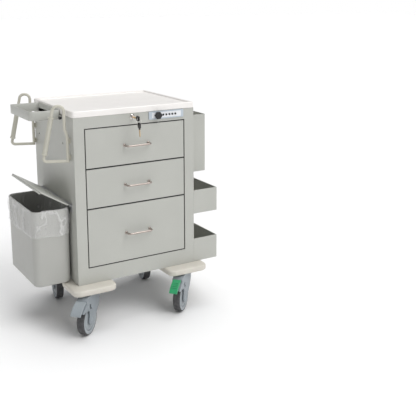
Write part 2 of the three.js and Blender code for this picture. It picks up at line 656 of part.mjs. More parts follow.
// Wall strip that carries the bin and the lid's hinge pin.
function lidBracket() {
  const plate = block([-HALF - 2.3, -HALF - GAP], [LID.front, LID.rear], [hingeZ - 30, hingeZ + 4]);
  const rings = [0, 2, 4].map((i) => roundY(hingeX, hingeZ, LID.barrel, knuckle(i), 5));
  const webs = [0, 2, 4].map((i) => block([hingeX, -HALF - 1], knuckle(i), [hingeZ - 4, hingeZ + 1]));
  const pin = roundY(hingeX, hingeZ, LID.pin, [LID.front + BITE, LID.rear - BITE], 4);
  return join(plate, ...rings, ...webs, pin);
}

// Flat lid, drawn closed; it lies about the hinge line as its local Y axis.
function binLid() {
  const panelX = [-LID.length, -LID.barrel - 1.2];
  const y = [LID.front, LID.rear];
  const panel = block(panelX, y, [-1, 1]);
  const lip = block([-LID.length, -LID.length + LID.sheet], y, [-LID.lip, 1]);
  const rings = [1, 3].map((i) => roundY(0, 0, LID.barrel, knuckle(i), 5));
  const arms = [1, 3].map((i) => block([-LID.barrel - 2, 0], knuckle(i), [-1, 1]));
  const bore = roundY(0, 0, LID.pin + GAP, [LID.front - 1, LID.rear + 1], 4);
  return cut(join(panel, lip, ...rings, ...arms), bore);
}

add('waste_bin', wasteBin(), 'paint');
add('bin_liner', binLiner(), 'bag');
add('lid_bracket', lidBracket(), 'zinc');
const lid = add('bin_lid', binLid(), 'paint');
lid.position.set(hingeX, 0, hingeZ);
lid.rotation.y = THREE.MathUtils.degToRad(LID.open);

// ---------- Corner bumpers and casters ----------
function bumper(xSign, isFront) {
  const outerX = HALF + BUMPER.side;
  const x = span(xSign * outerX, xSign * (outerX - BUMPER.width));
  const y = isFront
    ? [-BUMPER.front, BUMPER.depth - BUMPER.front]
    : [CABINET.depth + BUMPER.rear - BUMPER.depth, CABINET.depth + BUMPER.rear];
  const plate = softPlate(roundedRectangle(x, y, BUMPER.corner), [CASTER.top, CASTER.top + BUMPER.thickness],
    BUMPER.edge, 2);
  const socket = prismZ(circle(xSign * CASTER.x, isFront ? CASTER.front : CASTER.rear, FORK.stemHole),
    [CASTER.top - 1, FORK.stemTop + 1], { curveSegments: 8 });
  return cut(plate, socket);
}

const WHEEL_AT = [CASTER.trail, WHEEL.radius];

function forkSide() {
  const shape = polygon(FORK_FRONT);
  shape.absarc(...WHEEL_AT, FORK_HUB, ...HUB_ARC.map(THREE.MathUtils.degToRad));
  for (const [x, z] of [...FORK_UNDER, ...FORK_TOP]) shape.lineTo(x, z);
  return shape;
}

function casterFork() {
  const body = prismY(forkSide(), [-FORK.outer, FORK.outer]);
  const wheelSpace = prismY(polygon(WHEEL_SPACE), [-FORK.inner, FORK.inner]);
  const stem = prismZ(circle(0, 0, FORK.stem), [CASTER.top - 10, FORK.stemTop], { curveSegments: 8 });
  const axle = roundY(...WHEEL_AT, FORK.axle, [-FORK.inner - BITE, FORK.inner + BITE], 6);
  return join(cut(body, wheelSpace), stem, axle);
}

function casterWheel() {
  const flat = 1 / Math.cos(Math.PI / WHEEL.sides);
  const r = WHEEL.radius * flat;
  const w = WHEEL.width / 2;
  const half = [[WHEEL.bore, w - 2], [42, w - 2], [44, w - 4], [46, w - 2], [r - 7, w], [r, w * 0.5]];
  const lower = half.map(([radius, y]) => [radius, -y]);
  return lathe([...lower, ...half.toReversed(), lower[0]], WHEEL.sides, Math.PI / WHEEL.sides);
}

// Pedal resting on the hood's step, its pivot at its inner end.
function brakePedal() {
  return prismY(polygon(PEDAL_OUTLINE), [-PEDAL_HALF, PEDAL_HALF]);
}

for (const isFront of [true, false]) {
  for (const xSign of SIDES) {
    const where = `${isFront ? 'front' : 'rear'}_${xSign < 0 ? 'left' : 'right'}`;
    add(`bumper_${where}`, bumper(xSign, isFront), 'cream');
    const caster = new THREE.Group();
    caster.position.set(xSign * CASTER.x, isFront ? CASTER.front : CASTER.rear, 0);
    caster.rotation.z = THREE.MathUtils.degToRad(isFront ? CASTER.frontTurn : CASTER.rearTurn);
    add(`caster_fork_${where}`, casterFork(), 'casterPlastic', caster);
    add(`caster_wheel_${where}`, casterWheel(), 'wheel', caster).position.set(WHEEL_AT[0], 0, WHEEL_AT[1]);
    const isGreen = isFront && xSign > 0;
    add(`brake_pedal_${where}`, brakePedal(), isGreen ? 'greenPlastic' : 'casterPlastic', caster);
    cart.add(caster);
  }
}

// ---------- Origin: middle of the footprint, on the floor ----------
const bounds = new THREE.Box3().setFromObject(cart, true);
const middle = bounds.getCenter(new THREE.Vector3());
const model = new THREE.Group();
cart.position.set(-middle.x, -middle.y, -bounds.min.z);
model.add(cart);

export default model;
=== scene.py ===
"""Looks of the medication cart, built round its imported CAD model. Metres, +Z up, the cart faces -Y."""

import json
import math
from math import cos, pi, radians, sin

import bmesh
import bpy
from mathutils import Matrix, Vector, noise

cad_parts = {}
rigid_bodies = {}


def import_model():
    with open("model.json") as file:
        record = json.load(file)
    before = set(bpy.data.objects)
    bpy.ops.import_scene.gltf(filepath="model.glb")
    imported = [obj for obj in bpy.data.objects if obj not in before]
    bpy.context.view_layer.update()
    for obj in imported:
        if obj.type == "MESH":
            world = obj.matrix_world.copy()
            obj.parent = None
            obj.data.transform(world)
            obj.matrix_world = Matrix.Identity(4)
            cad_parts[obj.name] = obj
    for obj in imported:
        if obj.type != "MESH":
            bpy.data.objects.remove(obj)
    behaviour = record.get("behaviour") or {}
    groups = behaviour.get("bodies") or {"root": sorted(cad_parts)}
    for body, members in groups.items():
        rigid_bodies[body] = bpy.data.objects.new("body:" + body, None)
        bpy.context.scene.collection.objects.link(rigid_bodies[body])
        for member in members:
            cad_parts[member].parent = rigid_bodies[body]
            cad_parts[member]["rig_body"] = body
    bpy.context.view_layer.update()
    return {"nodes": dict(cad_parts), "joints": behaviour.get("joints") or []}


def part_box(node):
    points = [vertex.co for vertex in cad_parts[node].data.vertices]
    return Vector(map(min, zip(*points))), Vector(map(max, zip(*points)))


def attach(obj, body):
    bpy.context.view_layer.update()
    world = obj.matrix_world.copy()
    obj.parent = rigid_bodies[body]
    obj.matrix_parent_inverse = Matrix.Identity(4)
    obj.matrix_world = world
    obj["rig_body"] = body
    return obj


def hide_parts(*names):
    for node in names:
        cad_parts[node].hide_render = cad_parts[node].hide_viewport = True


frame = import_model()
nodes = frame["nodes"]
joints = {joint["name"]: joint for joint in frame["joints"]}

MM = 0.001
CORNERS = ("front_left", "front_right", "rear_left", "rear_right")
shell_low, shell_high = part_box("cabinet_shell")
# The cart's own origin: middle of the cabinet's width, at its front face, on the floor.
CART = Vector(((shell_low.x + shell_high.x) / 2, shell_low.y, 0))

# ---------- Camera ----------
AZIMUTH, PITCH = radians(-31.597), radians(11.275)
camera = bpy.data.objects.new("camera", bpy.data.cameras.new("camera"))
bpy.context.scene.collection.objects.link(camera)
camera.location = (-1.2655, -2.8439, 1.3498)
camera.rotation_euler = (pi / 2 - PITCH, 0, AZIMUTH)
camera.data.lens = 63.43
camera.data.shift_y = -0.16
bpy.context.scene.camera = camera


# ---------- Materials ----------
class Paint:
    """A node material with helpers that wire textures, in object coordinates, to a Principled shader."""

    def __init__(self, name, roughness, metallic=0.0, **constants):
        self.material = bpy.data.materials.new(name)
        self.material.use_nodes = True
        self.tree = self.material.node_tree
        self.shader = self.tree.nodes["Principled BSDF"]
        self.shader.inputs["Roughness"].default_value = roughness
        self.shader.inputs["Metallic"].default_value = metallic
        for socket, value in constants.items():
            self.shader.inputs[socket.replace("_", " ")].default_value = value
        self.place = self.node("TexCoord").outputs["Object"]
        self.heights = []

    def node(self, kind, **values):
        made = self.tree.nodes.new("ShaderNode" + kind)
        for key, value in values.items():
            setattr(made, key, value)
        return made

    def link(self, a, b):
        self.tree.links.new(a, b)

    def stretched(self, scale):
        mapping = self.node("Mapping")
        mapping.inputs["Scale"].default_value = scale
        self.link(self.place, mapping.inputs["Vector"])
        return mapping.outputs["Vector"]

    def noise(self, size, detail=3.0, stretch=(1, 1, 1), roughness=0.5):
        """Noise whose features are about size metres across."""
        made = self.node("TexNoise")
        self.link(self.stretched(stretch), made.inputs["Vector"])
        made.inputs["Scale"].default_value = 1 / size
        made.inputs["Detail"].default_value = detail
        made.inputs["Roughness"].default_value = roughness
        return made.outputs["Fac"]

    def cells(self, size, output="Distance", stretch=(1, 1, 1)):
        made = self.node("TexVoronoi")
        self.link(self.stretched(stretch), made.inputs["Vector"])
        made.inputs["Scale"].default_value = 1 / size
        return made.outputs[output]

    def ramp(self, value, stops):
        """Colour that runs through (position, colour) stops as value rises."""
        made = self.node("ValToRGB")
        line = made.color_ramp.elements
        while len(line) < len(stops):
            line.new(0.5)
        for element, (position, colour) in zip(line, stops):
            element.position = position
            element.color = (*colour, 1)
        self.link(value, made.inputs["Fac"])
        return made.outputs["Color"]

    def mix(self, share, a, b, mode="MIX"):
        made = self.node("Mix", data_type="RGBA", blend_type=mode)
        for socket, value in ((0, share), (6, a), (7, b)):
            if isinstance(value, bpy.types.NodeSocket):
                self.link(value, made.inputs[socket])
            elif socket:
                made.inputs[socket].default_value = (*value, 1)
            else:
                made.inputs[socket].default_value = value
        return made.outputs[2]

    def mottled(self, colour, size, spread=0.03, mid=None):
        """Base colour that drifts a little lighter and darker over patches of that size."""
        pale = tuple(min(1, c * (1 + spread)) for c in colour)
        deep = tuple(c * (1 - spread) for c in colour)
        stops = [(0.3, deep), (0.7, pale)] if mid is None else [(0.3, deep), (0.5, mid), (0.7, pale)]
        return self.ramp(self.noise(size, 4), stops)

    def colour(self, socket):
        self.link(socket, self.shader.inputs["Base Color"])
        return self

    def rough(self, value, low, high):
        spread = self.node("MapRange")
        spread.inputs["To Min"].default_value = low
        spread.inputs["To Max"].default_value = high
        self.link(value, spread.inputs["Value"])
        self.link(spread.outputs["Result"], self.shader.inputs["Roughness"])
        return self

    def bump(self, height, depth, strength=1.0):
        """Adds a layer of relief, depth metres deep."""
        made = self.node("Bump")
        made.inputs["Strength"].default_value = strength
        made.inputs["Distance"].default_value = depth
        self.link(height, made.inputs["Height"])
        if self.heights:
            self.link(self.heights[-1], made.inputs["Normal"])
        self.heights.append(made.outputs["Normal"])
        self.link(made.outputs["Normal"], self.shader.inputs["Normal"])
        return self


def powder_coat(name, colour, roughness=0.42):
    """Stoved powder paint: faint orange peel, a fine speckle and slow drifts of tone."""
    paint = Paint(name, roughness)
    speckle = paint.ramp(paint.noise(0.0009, 2), [(0.35, (0.94,) * 3), (0.65, (1.0,) * 3)])
    paint.colour(paint.mix(1.0, paint.mottled(colour, 0.16, 0.025), speckle, "MULTIPLY"))
    paint.rough(paint.noise(0.03), roughness - 0.06, roughness + 0.08)
    paint.bump(paint.noise(0.0035, 2), 0.00012, 0.5).bump(paint.noise(0.0008, 1), 0.00003, 0.4)
    return paint.material


def moulded(name, colour, roughness=0.45, grain=0.0012, depth=0.00006, spread=0.03, **constants):
    """Moulded plastic with a spark-eroded grain and slightly uneven gloss."""
    plastic = Paint(name, roughness, **constants)
    plastic.colour(plastic.mottled(colour, 0.05, spread))
    plastic.rough(plastic.noise(0.02), roughness - 0.07, roughness + 0.07)
    plastic.bump(plastic.cells(grain), depth, 0.6).bump(plastic.noise(0.02, 2), 0.0002, 0.25)
    return plastic.material


def bright_metal(name, colour, roughness, stretch=(1, 1, 1), size=0.0012):
    """Plated metal: fine polishing marks, along the short direction of stretch, and cloudy gloss."""
    metal = Paint(name, roughness, 1.0)
    metal.colour(metal.mottled(colour, 0.02, 0.06))
    metal.rough(metal.noise(size, 2, stretch), roughness * 0.7, roughness * 1.4)
    metal.bump(metal.noise(size, 2, stretch), 0.00002, 0.5)
    return metal.material


def zinc_sheet(name):
    """Galvanised sheet with its crystal spangle and rolling marks."""
    zinc = Paint(name, 0.38, 0.9)
    spangle = zinc.ramp(zinc.cells(0.012, "Color"), [(0.1, (0.50, 0.51, 0.52)), (0.9, (0.64, 0.65, 0.66))])
    marks = zinc.ramp(zinc.noise(0.0015, 2, (1, 0.05, 1)), [(0.3, (0.9,) * 3), (0.7, (1.0,) * 3)])
    zinc.colour(zinc.mix(1.0, spangle, marks, "MULTIPLY"))
    zinc.rough(zinc.cells(0.012, "Distance"), 0.3, 0.5)
    zinc.bump(zinc.noise(0.0015, 2, (1, 0.05, 1)), 0.00002, 0.4)
    return zinc.material


def rubber(name, colour):
    """Tread rubber: dusty, with fine cracks and scuffs."""
    tread = Paint(name, 0.7)
    dust = tread.ramp(tread.noise(0.012, 5), [(0.35, (0, 0, 0)), (0.75, (1, 1, 1))])
    dusty = tuple(c * 1.5 + 0.02 for c in colour)
    tread.colour(tread.mix(dust, tread.mottled(colour, 0.01, 0.15), dusty))
    tread.rough(tread.noise(0.006), 0.58, 0.82)
    tread.bump(tread.noise(0.0012, 3), 0.00012, 0.7)
    return tread.material


def film(name):
    """Thin milky polythene: see-through, glossy and crinkled."""
    bag = Paint(name, 0.3, IOR=1.45)
    bag.colour(bag.mottled((0.84, 0.835, 0.83), 0.04, 0.05))
    # Where the film creases it is double, so it hides more of what lies behind it.
    clear, creased = (0.24,) * 3, (0.54,) * 3
    creases = bag.ramp(bag.noise(0.075, 2, (1, 1, 0.5)), [(0.475, clear), (0.5, creased), (0.525, clear)])
    bag.link(creases, bag.shader.inputs["Alpha"])
    bag.rough(bag.noise(0.008), 0.2, 0.42)
    bag.bump(bag.noise(0.016, 4, (1, 1, 0.6)), 0.0012, 0.5)
    bag.bump(bag.cells(0.035, stretch=(1, 1, 0.6)), 0.0012, 0.3)
    return bag.material


def worktop_skin(name):
    """White thermoformed sheet with a fine leather grain."""
    top = Paint(name, 0.36, Coat_Weight=0.08)
    top.colour(top.mottled((0.90, 0.875, 0.845), 0.09, 0.02))
    top.rough(top.noise(0.02), 0.3, 0.44)
    top.bump(top.cells(0.0016), 0.00007, 0.5).bump(top.noise(0.05, 2), 0.0003, 0.2)
    return top.material


PAINT = powder_coat("grey_powder_coat", (0.50, 0.505, 0.468))
BIN_PAINT = powder_coat("bin_powder_coat", (0.45, 0.452, 0.425))
ROD_PAINT = powder_coat("beige_powder_coat", (0.58, 0.565, 0.485), 0.38)
ZINC = zinc_sheet("galvanised_sheet")
WORKTOP = worktop_skin("white_worktop")
CHROME = bright_metal("bright_nickel", (0.74, 0.70, 0.67), 0.16)
PULL_METAL = bright_metal("satin_nickel", (0.46, 0.40, 0.365), 0.3, (0.15, 1, 1))
BRASS = bright_metal("key_brass", (0.72, 0.52, 0.30), 0.28)
STEEL = bright_metal("screw_steel", (0.62, 0.62, 0.61), 0.3)
BLACK = moulded("black_plastic", (0.018, 0.017, 0.018), 0.36, spread=0.2)
LOCK_GREY = moulded("lock_plate_grey", (0.50, 0.56, 0.62), 0.34)
LOCK_WHITE = moulded("lock_insert_white", (0.80, 0.82, 0.84), 0.3)
CREAM = moulded("cream_bumper", (0.64, 0.61, 0.545), 0.5, 0.0018, 0.0001)
GRIP = moulded("handle_grip", (0.54, 0.53, 0.455), 0.55, 0.0009, 0.00008)
# Matt black for the strips in the drawer gaps: painted shade, not a part of the cart.
GAP_SHADE = moulded("painted_gap_shade", (0.012, 0.012, 0.012), 0.75, spread=0.2)
CASTER = moulded("caster_plastic", (0.27, 0.30, 0.325), 0.42, 0.001, 0.00005, 0.05)
PEDAL = moulded("pedal_plastic", (0.31, 0.345, 0.37), 0.4, 0.001, 0.00005, 0.04)
DISC = moulded("wheel_disc", (0.33, 0.36, 0.38), 0.38, 0.001, 0.00004, 0.04)
GREEN = moulded("green_pedal", (0.035, 0.36, 0.15), 0.38, 0.001, 0.00005, 0.08)
TREAD = rubber("tread_rubber", (0.055, 0.055, 0.057))
FILM = film("bag_film")


# ---------- Shells: (points, faces) pairs ----------
def joined(*shells):
    points, faces = [], []
    for more_points, more_faces in shells:
        start = len(points)
        points += more_points
        faces += [tuple(start + i for i in face) for face in more_faces]
    return points, faces


def moved(shell, matrix):
    return [matrix @ p for p in shell[0]], shell[1]


def loft(loops, ring=False):
    """Skin over closed loops with equal numbers of points; ring joins the last loop to the first."""
    n = len(loops[0])
    points = [Vector(p) for loop in loops for p in loop]
    faces = []
    for k in range(len(loops) if ring else len(loops) - 1):
        a, b = k * n, (k + 1) % len(loops) * n
        faces += [(a + i, a + (i + 1) % n, b + (i + 1) % n, b + i) for i in range(n)]
    if not ring:
        faces += [tuple(reversed(range(n))), tuple(range(len(points) - n, len(points)))]
    return points, faces


def arc(centre, radius, start, end, steps):
    """Points on an arc, angles in degrees."""
    turns = [radians(start + (end - start) * k / steps) for k in range(steps + 1)]
    return [(centre[0] + radius * cos(t), centre[1] + radius * sin(t)) for t in turns]


def rounded(x, y, radii, steps=8):
    """Rounded rectangle, counter-clockwise from its low-low corner; radii in the same order."""
    if not hasattr(radii, "__len__"):
        radii = (radii,) * 4
    middles = ((x[0], y[0], 1, 1), (x[1], y[0], -1, 1), (x[1], y[1], -1, -1), (x[0], y[1], 1, -1))
    outline = []
    for k, ((cx, cy, sx, sy), r) in enumerate(zip(middles, radii)):
        outline += arc((cx + sx * r, cy + sy * r), r, 180 + 90 * k, 270 + 90 * k, steps)
    return outline


def plate(x, y, z, corner, edge, steps=5):
    """Flat plate with rounded corners and rounded-over upper and lower edges."""
    sections = [(edge - edge * sin(t), z[0] + edge - edge * cos(t))
                for t in (radians(90 * k / steps) for k in range(steps + 1))]
    sections += [(inset, z[0] + z[1] - height) for inset, height in reversed(sections)]
    return loft([inset_loop(x, y, corner, inset, height) for inset, height in sections])


def inset_loop(x, y, corner, inset, height, steps=8):
    radius = max(corner - inset, 0.0005)
    outline = rounded((x[0] + inset, x[1] - inset), (y[0] + inset, y[1] - inset), radius, steps)
    return [Vector((px, py, height)) for px, py in outline]


def sweep(path, radius, sides=16, closed=False):
    """Round rod along a path."""
    path = [Vector(p) for p in path]
    count = len(path)
    tangents = []
    for i in range(count):
        before = path[i - 1] if i or closed else path[i]
        after = path[(i + 1) % count] if i < count - 1 or closed else path[i]
        tangents.append((after - before).normalized())
    side = tangents[0].orthogonal().normalized()
    loops = []
    for centre, tangent in zip(path, tangents):
        side = (side - tangent * side.dot(tangent)).normalized()
        up = tangent.cross(side)
        turns = [2 * pi * k / sides for k in range(sides)]
        loops.append([centre + (side * cos(t) + up * sin(t)) * radius for t in turns])
    return loft(loops, closed)


def bent(corners, radii, step=8):
    """Path along straight legs whose corners are bent to the given radii."""
    corners = [Vector(c) for c in corners]
    path = [corners[0]]
    for before, corner, after, radius in zip(corners, corners[1:], corners[2:], radii):
        back, ahead = (before - corner).normalized(), (after - corner).normalized()
        half = back.angle(ahead) / 2
        centre = corner + (back + ahead).normalized() * radius / sin(half)
        start = corner + back * radius / math.tan(half) - centre
        turn = pi - 2 * half
        steps = max(3, math.ceil(turn / radians(step)))
        axis = ahead.cross(back).normalized()
        path += [centre + Matrix.Rotation(turn * k / steps, 3, axis) @ start for k in range(steps + 1)]
    return path + [corners[-1]]


def revolve(profile, matrix=Matrix(), sides=48):
    """Solid of revolution about local Z through (radius, height) points; a closed profile makes a ring."""
    whole = profile[0][0] > 1e-7
    loops = [[Vector((max(r, 1e-6) * cos(t), max(r, 1e-6) * sin(t), h))
              for t in (2 * pi * k / sides for k in range(sides))] for r, h in profile]
    return moved(loft(loops, whole), matrix)


def prism(outline, span, matrix=Matrix()):
    """Extrusion of a 2D outline along local Z."""
    return moved(loft([[Vector((u, v, w)) for u, v in outline] for w in span]), matrix)


def slab(x, y, z):
    return prism([(x[0], y[0]), (x[1], y[0]), (x[1], y[1]), (x[0], y[1])], z)


# Local axes for outlines drawn in (X, Z) and pushed along +Y, and in (Y, Z) pushed along +X.
FACING_Y = Matrix(((1, 0, 0, 0), (0, 0, 1, 0), (0, 1, 0, 0), (0, 0, 0, 1)))
FACING_X = Matrix(((0, 0, 1, 0), (1, 0, 0, 0), (0, 1, 0, 0), (0, 0, 0, 1)))


def axis_matrix(origin, axis):
    """Matrix whose local Z runs along axis from origin."""
    return Matrix.Translation(origin) @ Vector(axis).to_track_quat("Z", "Y").to_matrix().to_4x4()


def cart(x, y, z):
    """A point given in millimetres from the cart's own origin."""
    return CART + Vector((x, y, z)) * MM


# ---------- Pieces ----------
def piece(name, shell, material, body, stands_for=(), bevel=0.0, segments=2, cutters=(), sharp=40):
    """A shown piece: its mesh, finish, the body that it rides on and the CAD nodes that it stands for."""
    mesh = bpy.data.meshes.new(name)
    mesh.from_pydata([tuple(p) for p in shell[0]], [], shell[1])
    made = bpy.data.objects.new(name, mesh)
    bpy.context.scene.collection.objects.link(made)
    clean(mesh)
    for cutter in cutters:
        cut_out(made, cutter)
    mesh = made.data
    mesh.materials.clear()
    mesh.materials.append(material)
    mesh.shade_smooth()
    if bevel:
        round_edges(made, bevel, segments)
    else:
        mesh.set_sharp_from_angle(angle=radians(sharp))
    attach(made, body)
    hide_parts(*stands_for)
    return made


def clean(mesh):
    """Merges points that coincide and turns every face outwards."""
    work = bmesh.new()
    work.from_mesh(mesh)
    bmesh.ops.remove_doubles(work, verts=work.verts, dist=2e-6)
    bmesh.ops.recalc_face_normals(work, faces=work.faces)
    work.to_mesh(mesh)
    work.free()


def cut_out(made, shell):
    """Cuts a shell out of an object's mesh for good."""
    mesh = bpy.data.meshes.new("cutter")
    mesh.from_pydata([tuple(p) for p in shell[0]], [], shell[1])
    clean(mesh)
    tool = bpy.data.objects.new("cutter", mesh)
    bpy.context.scene.collection.objects.link(tool)
    cutting = made.modifiers.new("cut", "BOOLEAN")
    cutting.object, cutting.operation, cutting.solver = tool, "DIFFERENCE", "EXACT"
    shaped = made.evaluated_get(bpy.context.evaluated_depsgraph_get())
    made.data = bpy.data.meshes.new_from_object(shaped)
    made.modifiers.clear()
    bpy.data.objects.remove(tool)


def round_edges(made, width, segments=2, angle=30):
    bevel = made.modifiers.new("edges", "BEVEL")
    bevel.width, bevel.segments, bevel.limit_method = width, segments, "ANGLE"
    bevel.angle_limit = radians(angle)
    bevel.miter_outer = "MITER_ARC"
    weighted = made.modifiers.new("shading", "WEIGHTED_NORMAL")
    weighted.keep_sharp = True


def refined(node, material, edge, segments=2, trim=0.0):
    """A finer copy of a CAD node: flat faces in one piece, edges rounded, its outline trimmed in X and Z."""
    source = nodes[node]
    work = bmesh.new()
    work.from_mesh(source.data)
    bmesh.ops.remove_doubles(work, verts=work.verts, dist=2e-6)
    bmesh.ops.dissolve_limit(work, angle_limit=radians(0.5), verts=work.verts, edges=work.edges)
    work.verts.index_update()
    low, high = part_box(node)
    middle, size = (low + high) / 2, high - low
    shrink = Vector(((size.x - 2 * trim) / size.x, 1, (size.z - 2 * trim) / size.z))
    points = [middle + (v.co - middle) * shrink for v in work.verts]
    faces = [tuple(v.index for v in face.verts) for face in work.faces]
    work.free()
    return piece(node + "_formed", (points, faces), material, source["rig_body"], [node], edge, segments)


def screw(name, origin, axis, body, radius=0.0042, material=None):
    """Low domed screw head with a cross recess, its underside at origin."""
    height = radius * 0.55
    dome = [(0, 0), (radius, 0), (radius, height * 0.25)]
    turns = [radians(a) for a in (20, 40, 60, 75)]
    dome += [(radius * cos(t), height * (0.25 + 0.75 * sin(t))) for t in turns]
    dome += [(0, height)]
    matrix = axis_matrix(origin, axis)
    arm = radius * 0.62
    slots = [moved(slab((-a, a), (-b, b), (height * 0.55, height * 2)), matrix)
             for a, b in ((arm, radius * 0.13), (radius * 0.13, arm))]
    return piece(name, revolve(dome, matrix, 24), material or STEEL, body, cutters=slots)


def on_node(node, material):
    """Gives a CAD node that keeps its shape its finish."""
    mesh = nodes[node].data
    mesh.materials.clear()
    mesh.materials.append(material)


# ---------- Cabinet ----------
def cabinet():
    refined("cabinet_shell", PAINT, 0.0016, 3)
    refined("base_pan", ZINC, 0.0004)
    for i in (1, 2, 3):
        for side in ("left", "right"):
            on_node(f"slide_rail_{i}_{side}", ZINC)
    refined("writing_shelf", PAINT, 0.0008)


def worktop():
    """Moulded top: rounded edge, raised lip and a dished floor with coved sides."""
    low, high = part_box("worktop")
    edge, lip, recess, cove, corner = 0.005, 0.014, 0.007, 0.004, 0.012
    turns = [radians(90 * k / 6) for k in range(7)]
    rings = [(0.0015 - 0.0015 * sin(t), low.z + 0.0015 - 0.0015 * cos(t)) for t in turns]
    rings += [(edge - edge * cos(t), high.z - edge + edge * sin(t)) for t in turns]
    rings += [(lip - 0.003 + 0.003 * sin(t), high.z - 0.003 + 0.003 * cos(t)) for t in turns]
    floor = high.z - recess
    rings += [(lip + cove - cove * cos(t), floor + cove - cove * sin(t)) for t in turns]
    loops = [inset_loop((low.x, high.x), (low.y, high.y), corner, inset, z) for inset, z in rings]
    piece("worktop_moulding", loft(loops), WORKTOP, "cart", ["worktop"])


# Taken off each edge of a drawer front, which widens the gaps to what the photograph shows.
FRONT_TRIM = 0.0014
# Clearance between a black strip of painted gap shade and the steel beside it, and how far it reaches behind
# a drawer front's edge.
SHADE_STRIP_FIT, SHADE_STRIP_LAP = 0.0003, 0.0007


def drawers():
    for i in (1, 2, 3):
        body = f"drawer_{i}"
        refined(f"drawer_front_{i}", PAINT, 0.0011, 3, FRONT_TRIM)
        refined(f"drawer_tray_{i}", ZINC, 0.0004)
        low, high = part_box(f"drawer_pull_{i}")
        wire_pull(f"drawer_pull_{i}", body, Vector((1, 0, 0)), Vector((0, -1, 0)), (low + high) / 2,
                  high.x - low.x, high.y - low.y)
    low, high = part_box("shelf_pull")
    wire_pull("shelf_pull", "shelf", Vector((0, 1, 0)), Vector((1, 0, 0)), (low + high) / 2,
              high.y - low.y, high.x - low.x)


def gap_shade_strips():
    """Black strips a little behind the faces of the drawers, in the gaps round them: painted shade that
    darkens the gaps.
    """
    fronts = [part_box(f"drawer_front_{i}") for i in (1, 2, 3)]
    left, right = fronts[0][0].x, fronts[0][1].x
    top, bottom = fronts[0][1].z, fronts[2][0].z
    reveal = fronts[0][0].z - fronts[1][1].z
    y = (CART.y + 0.0014, CART.y + 0.0040)
    frame_x = (left - reveal + SHADE_STRIP_FIT, right + reveal - SHADE_STRIP_FIT)
    frame_z = (bottom - reveal + SHADE_STRIP_FIT, top + reveal - SHADE_STRIP_FIT)
    sides = [slab(x, y, frame_z) for x in ((frame_x[0], left + SHADE_STRIP_LAP), (right - SHADE_STRIP_LAP, frame_x[1]))]
    spans = [(top - SHADE_STRIP_LAP, frame_z[1]), (frame_z[0], bottom + SHADE_STRIP_LAP)]
    for upper, lower in ((0, 1), (1, 2)):
        spans.append((fronts[lower][1].z - SHADE_STRIP_LAP, fronts[upper][0].z + SHADE_STRIP_LAP))
    bars = [slab((left, right), y, z) for z in spans]
    piece("drawer_gap_shade_strips", joined(*sides, *bars), GAP_SHADE, "cart", bevel=0.0004)


def wire_pull(node, body, along, out, middle, length, reach):
    """Bar handle bent from one rod, with a small turned foot under each end."""
    radius, bend_radius = 0.004, 0.012
    half = length / 2 - radius
    base = middle - out * reach / 2
    top = reach - radius
    corners = [base - along * half, base - along * half + out * top,
               base + along * half + out * top, base + along * half]
    feet = []
    for side in (-1, 1):
        foot = [(0, 0), (0.0066, 0), (0.0066, 0.0012), (0.0058, 0.0022), (0.0042, 0.003), (0, 0.003)]
        feet.append(revolve(foot, axis_matrix(base + along * half * side, out), 32))
    rod = sweep(bent(corners, (bend_radius, bend_radius)), radius, 20)
    piece(node + "_bar", joined(rod, *feet), PULL_METAL, body, [node])


# ---------- Locks ----------
def key_lock():
    low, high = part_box("lock_barrel")
    centre = Vector(((low.x + high.x) / 2, low.y, (low.z + high.z) / 2))
    inward = axis_matrix(centre, (0, 1, 0))
    rim, bore, depth = (high.x - low.x) / 2, 0.0073, high.y - low.y
    profile = [(bore, 0.0008), (bore + 0.0008, 0), (rim - 0.0035, 0), (rim - 0.001, 0.0006), (rim, 0.0018),
               (rim, 0.0027), (0.0095, 0.0027), (0.0095, depth), (bore, depth)]
    piece("lock_barrel_turned", revolve(profile, inward, 64), CHROME, "cart", ["lock_barrel"])
    on_node("lock_plug", CHROME)
    boss = [(0.0017, 0), (0.0052, 0), (0.0062, -0.0008), (0.0062, -0.0095), (0.0056, -0.0105),
            (0.0017, -0.0105)]
    piece("lock_plug_boss", revolve(boss, inward, 40), CHROME, "lock_plug")
    key_low, key_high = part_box("key")
    bow_end = Vector(((key_low.x + key_high.x) / 2, key_low.y, (key_low.z + key_high.z) / 2))
    key("key", bow_end, (0, 1, 0), "lock_plug", ["key"], BRASS, key_high.y - key_low.y - 0.034)
    ring_low, ring_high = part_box("key_ring")
    ring_middle = (ring_low + ring_high) / 2
    big = (ring_high.x - ring_low.x) / 2 - 0.0009
    turns = [2 * pi * k / 48 for k in range(48)]
    circle = [ring_middle + Vector((big * cos(t), 0, big * sin(t))) for t in turns]
    piece("key_ring_wire", sweep(circle, 0.0009, 10, True), CHROME, "key_ring", ["key_ring"])
    # The second key hangs from the ring.
    hang = ring_middle - Vector((0, 0, big - KEY_HOLE * MM))
    key("hanging_key", hang + Vector((0.0014, 0, 0)), (0.05, 0, -1), "key_ring", [], BRASS, 0.030)


KEY_HOLE = 5.5  # from the end of a key's bow to the middle of its hole, millimetres


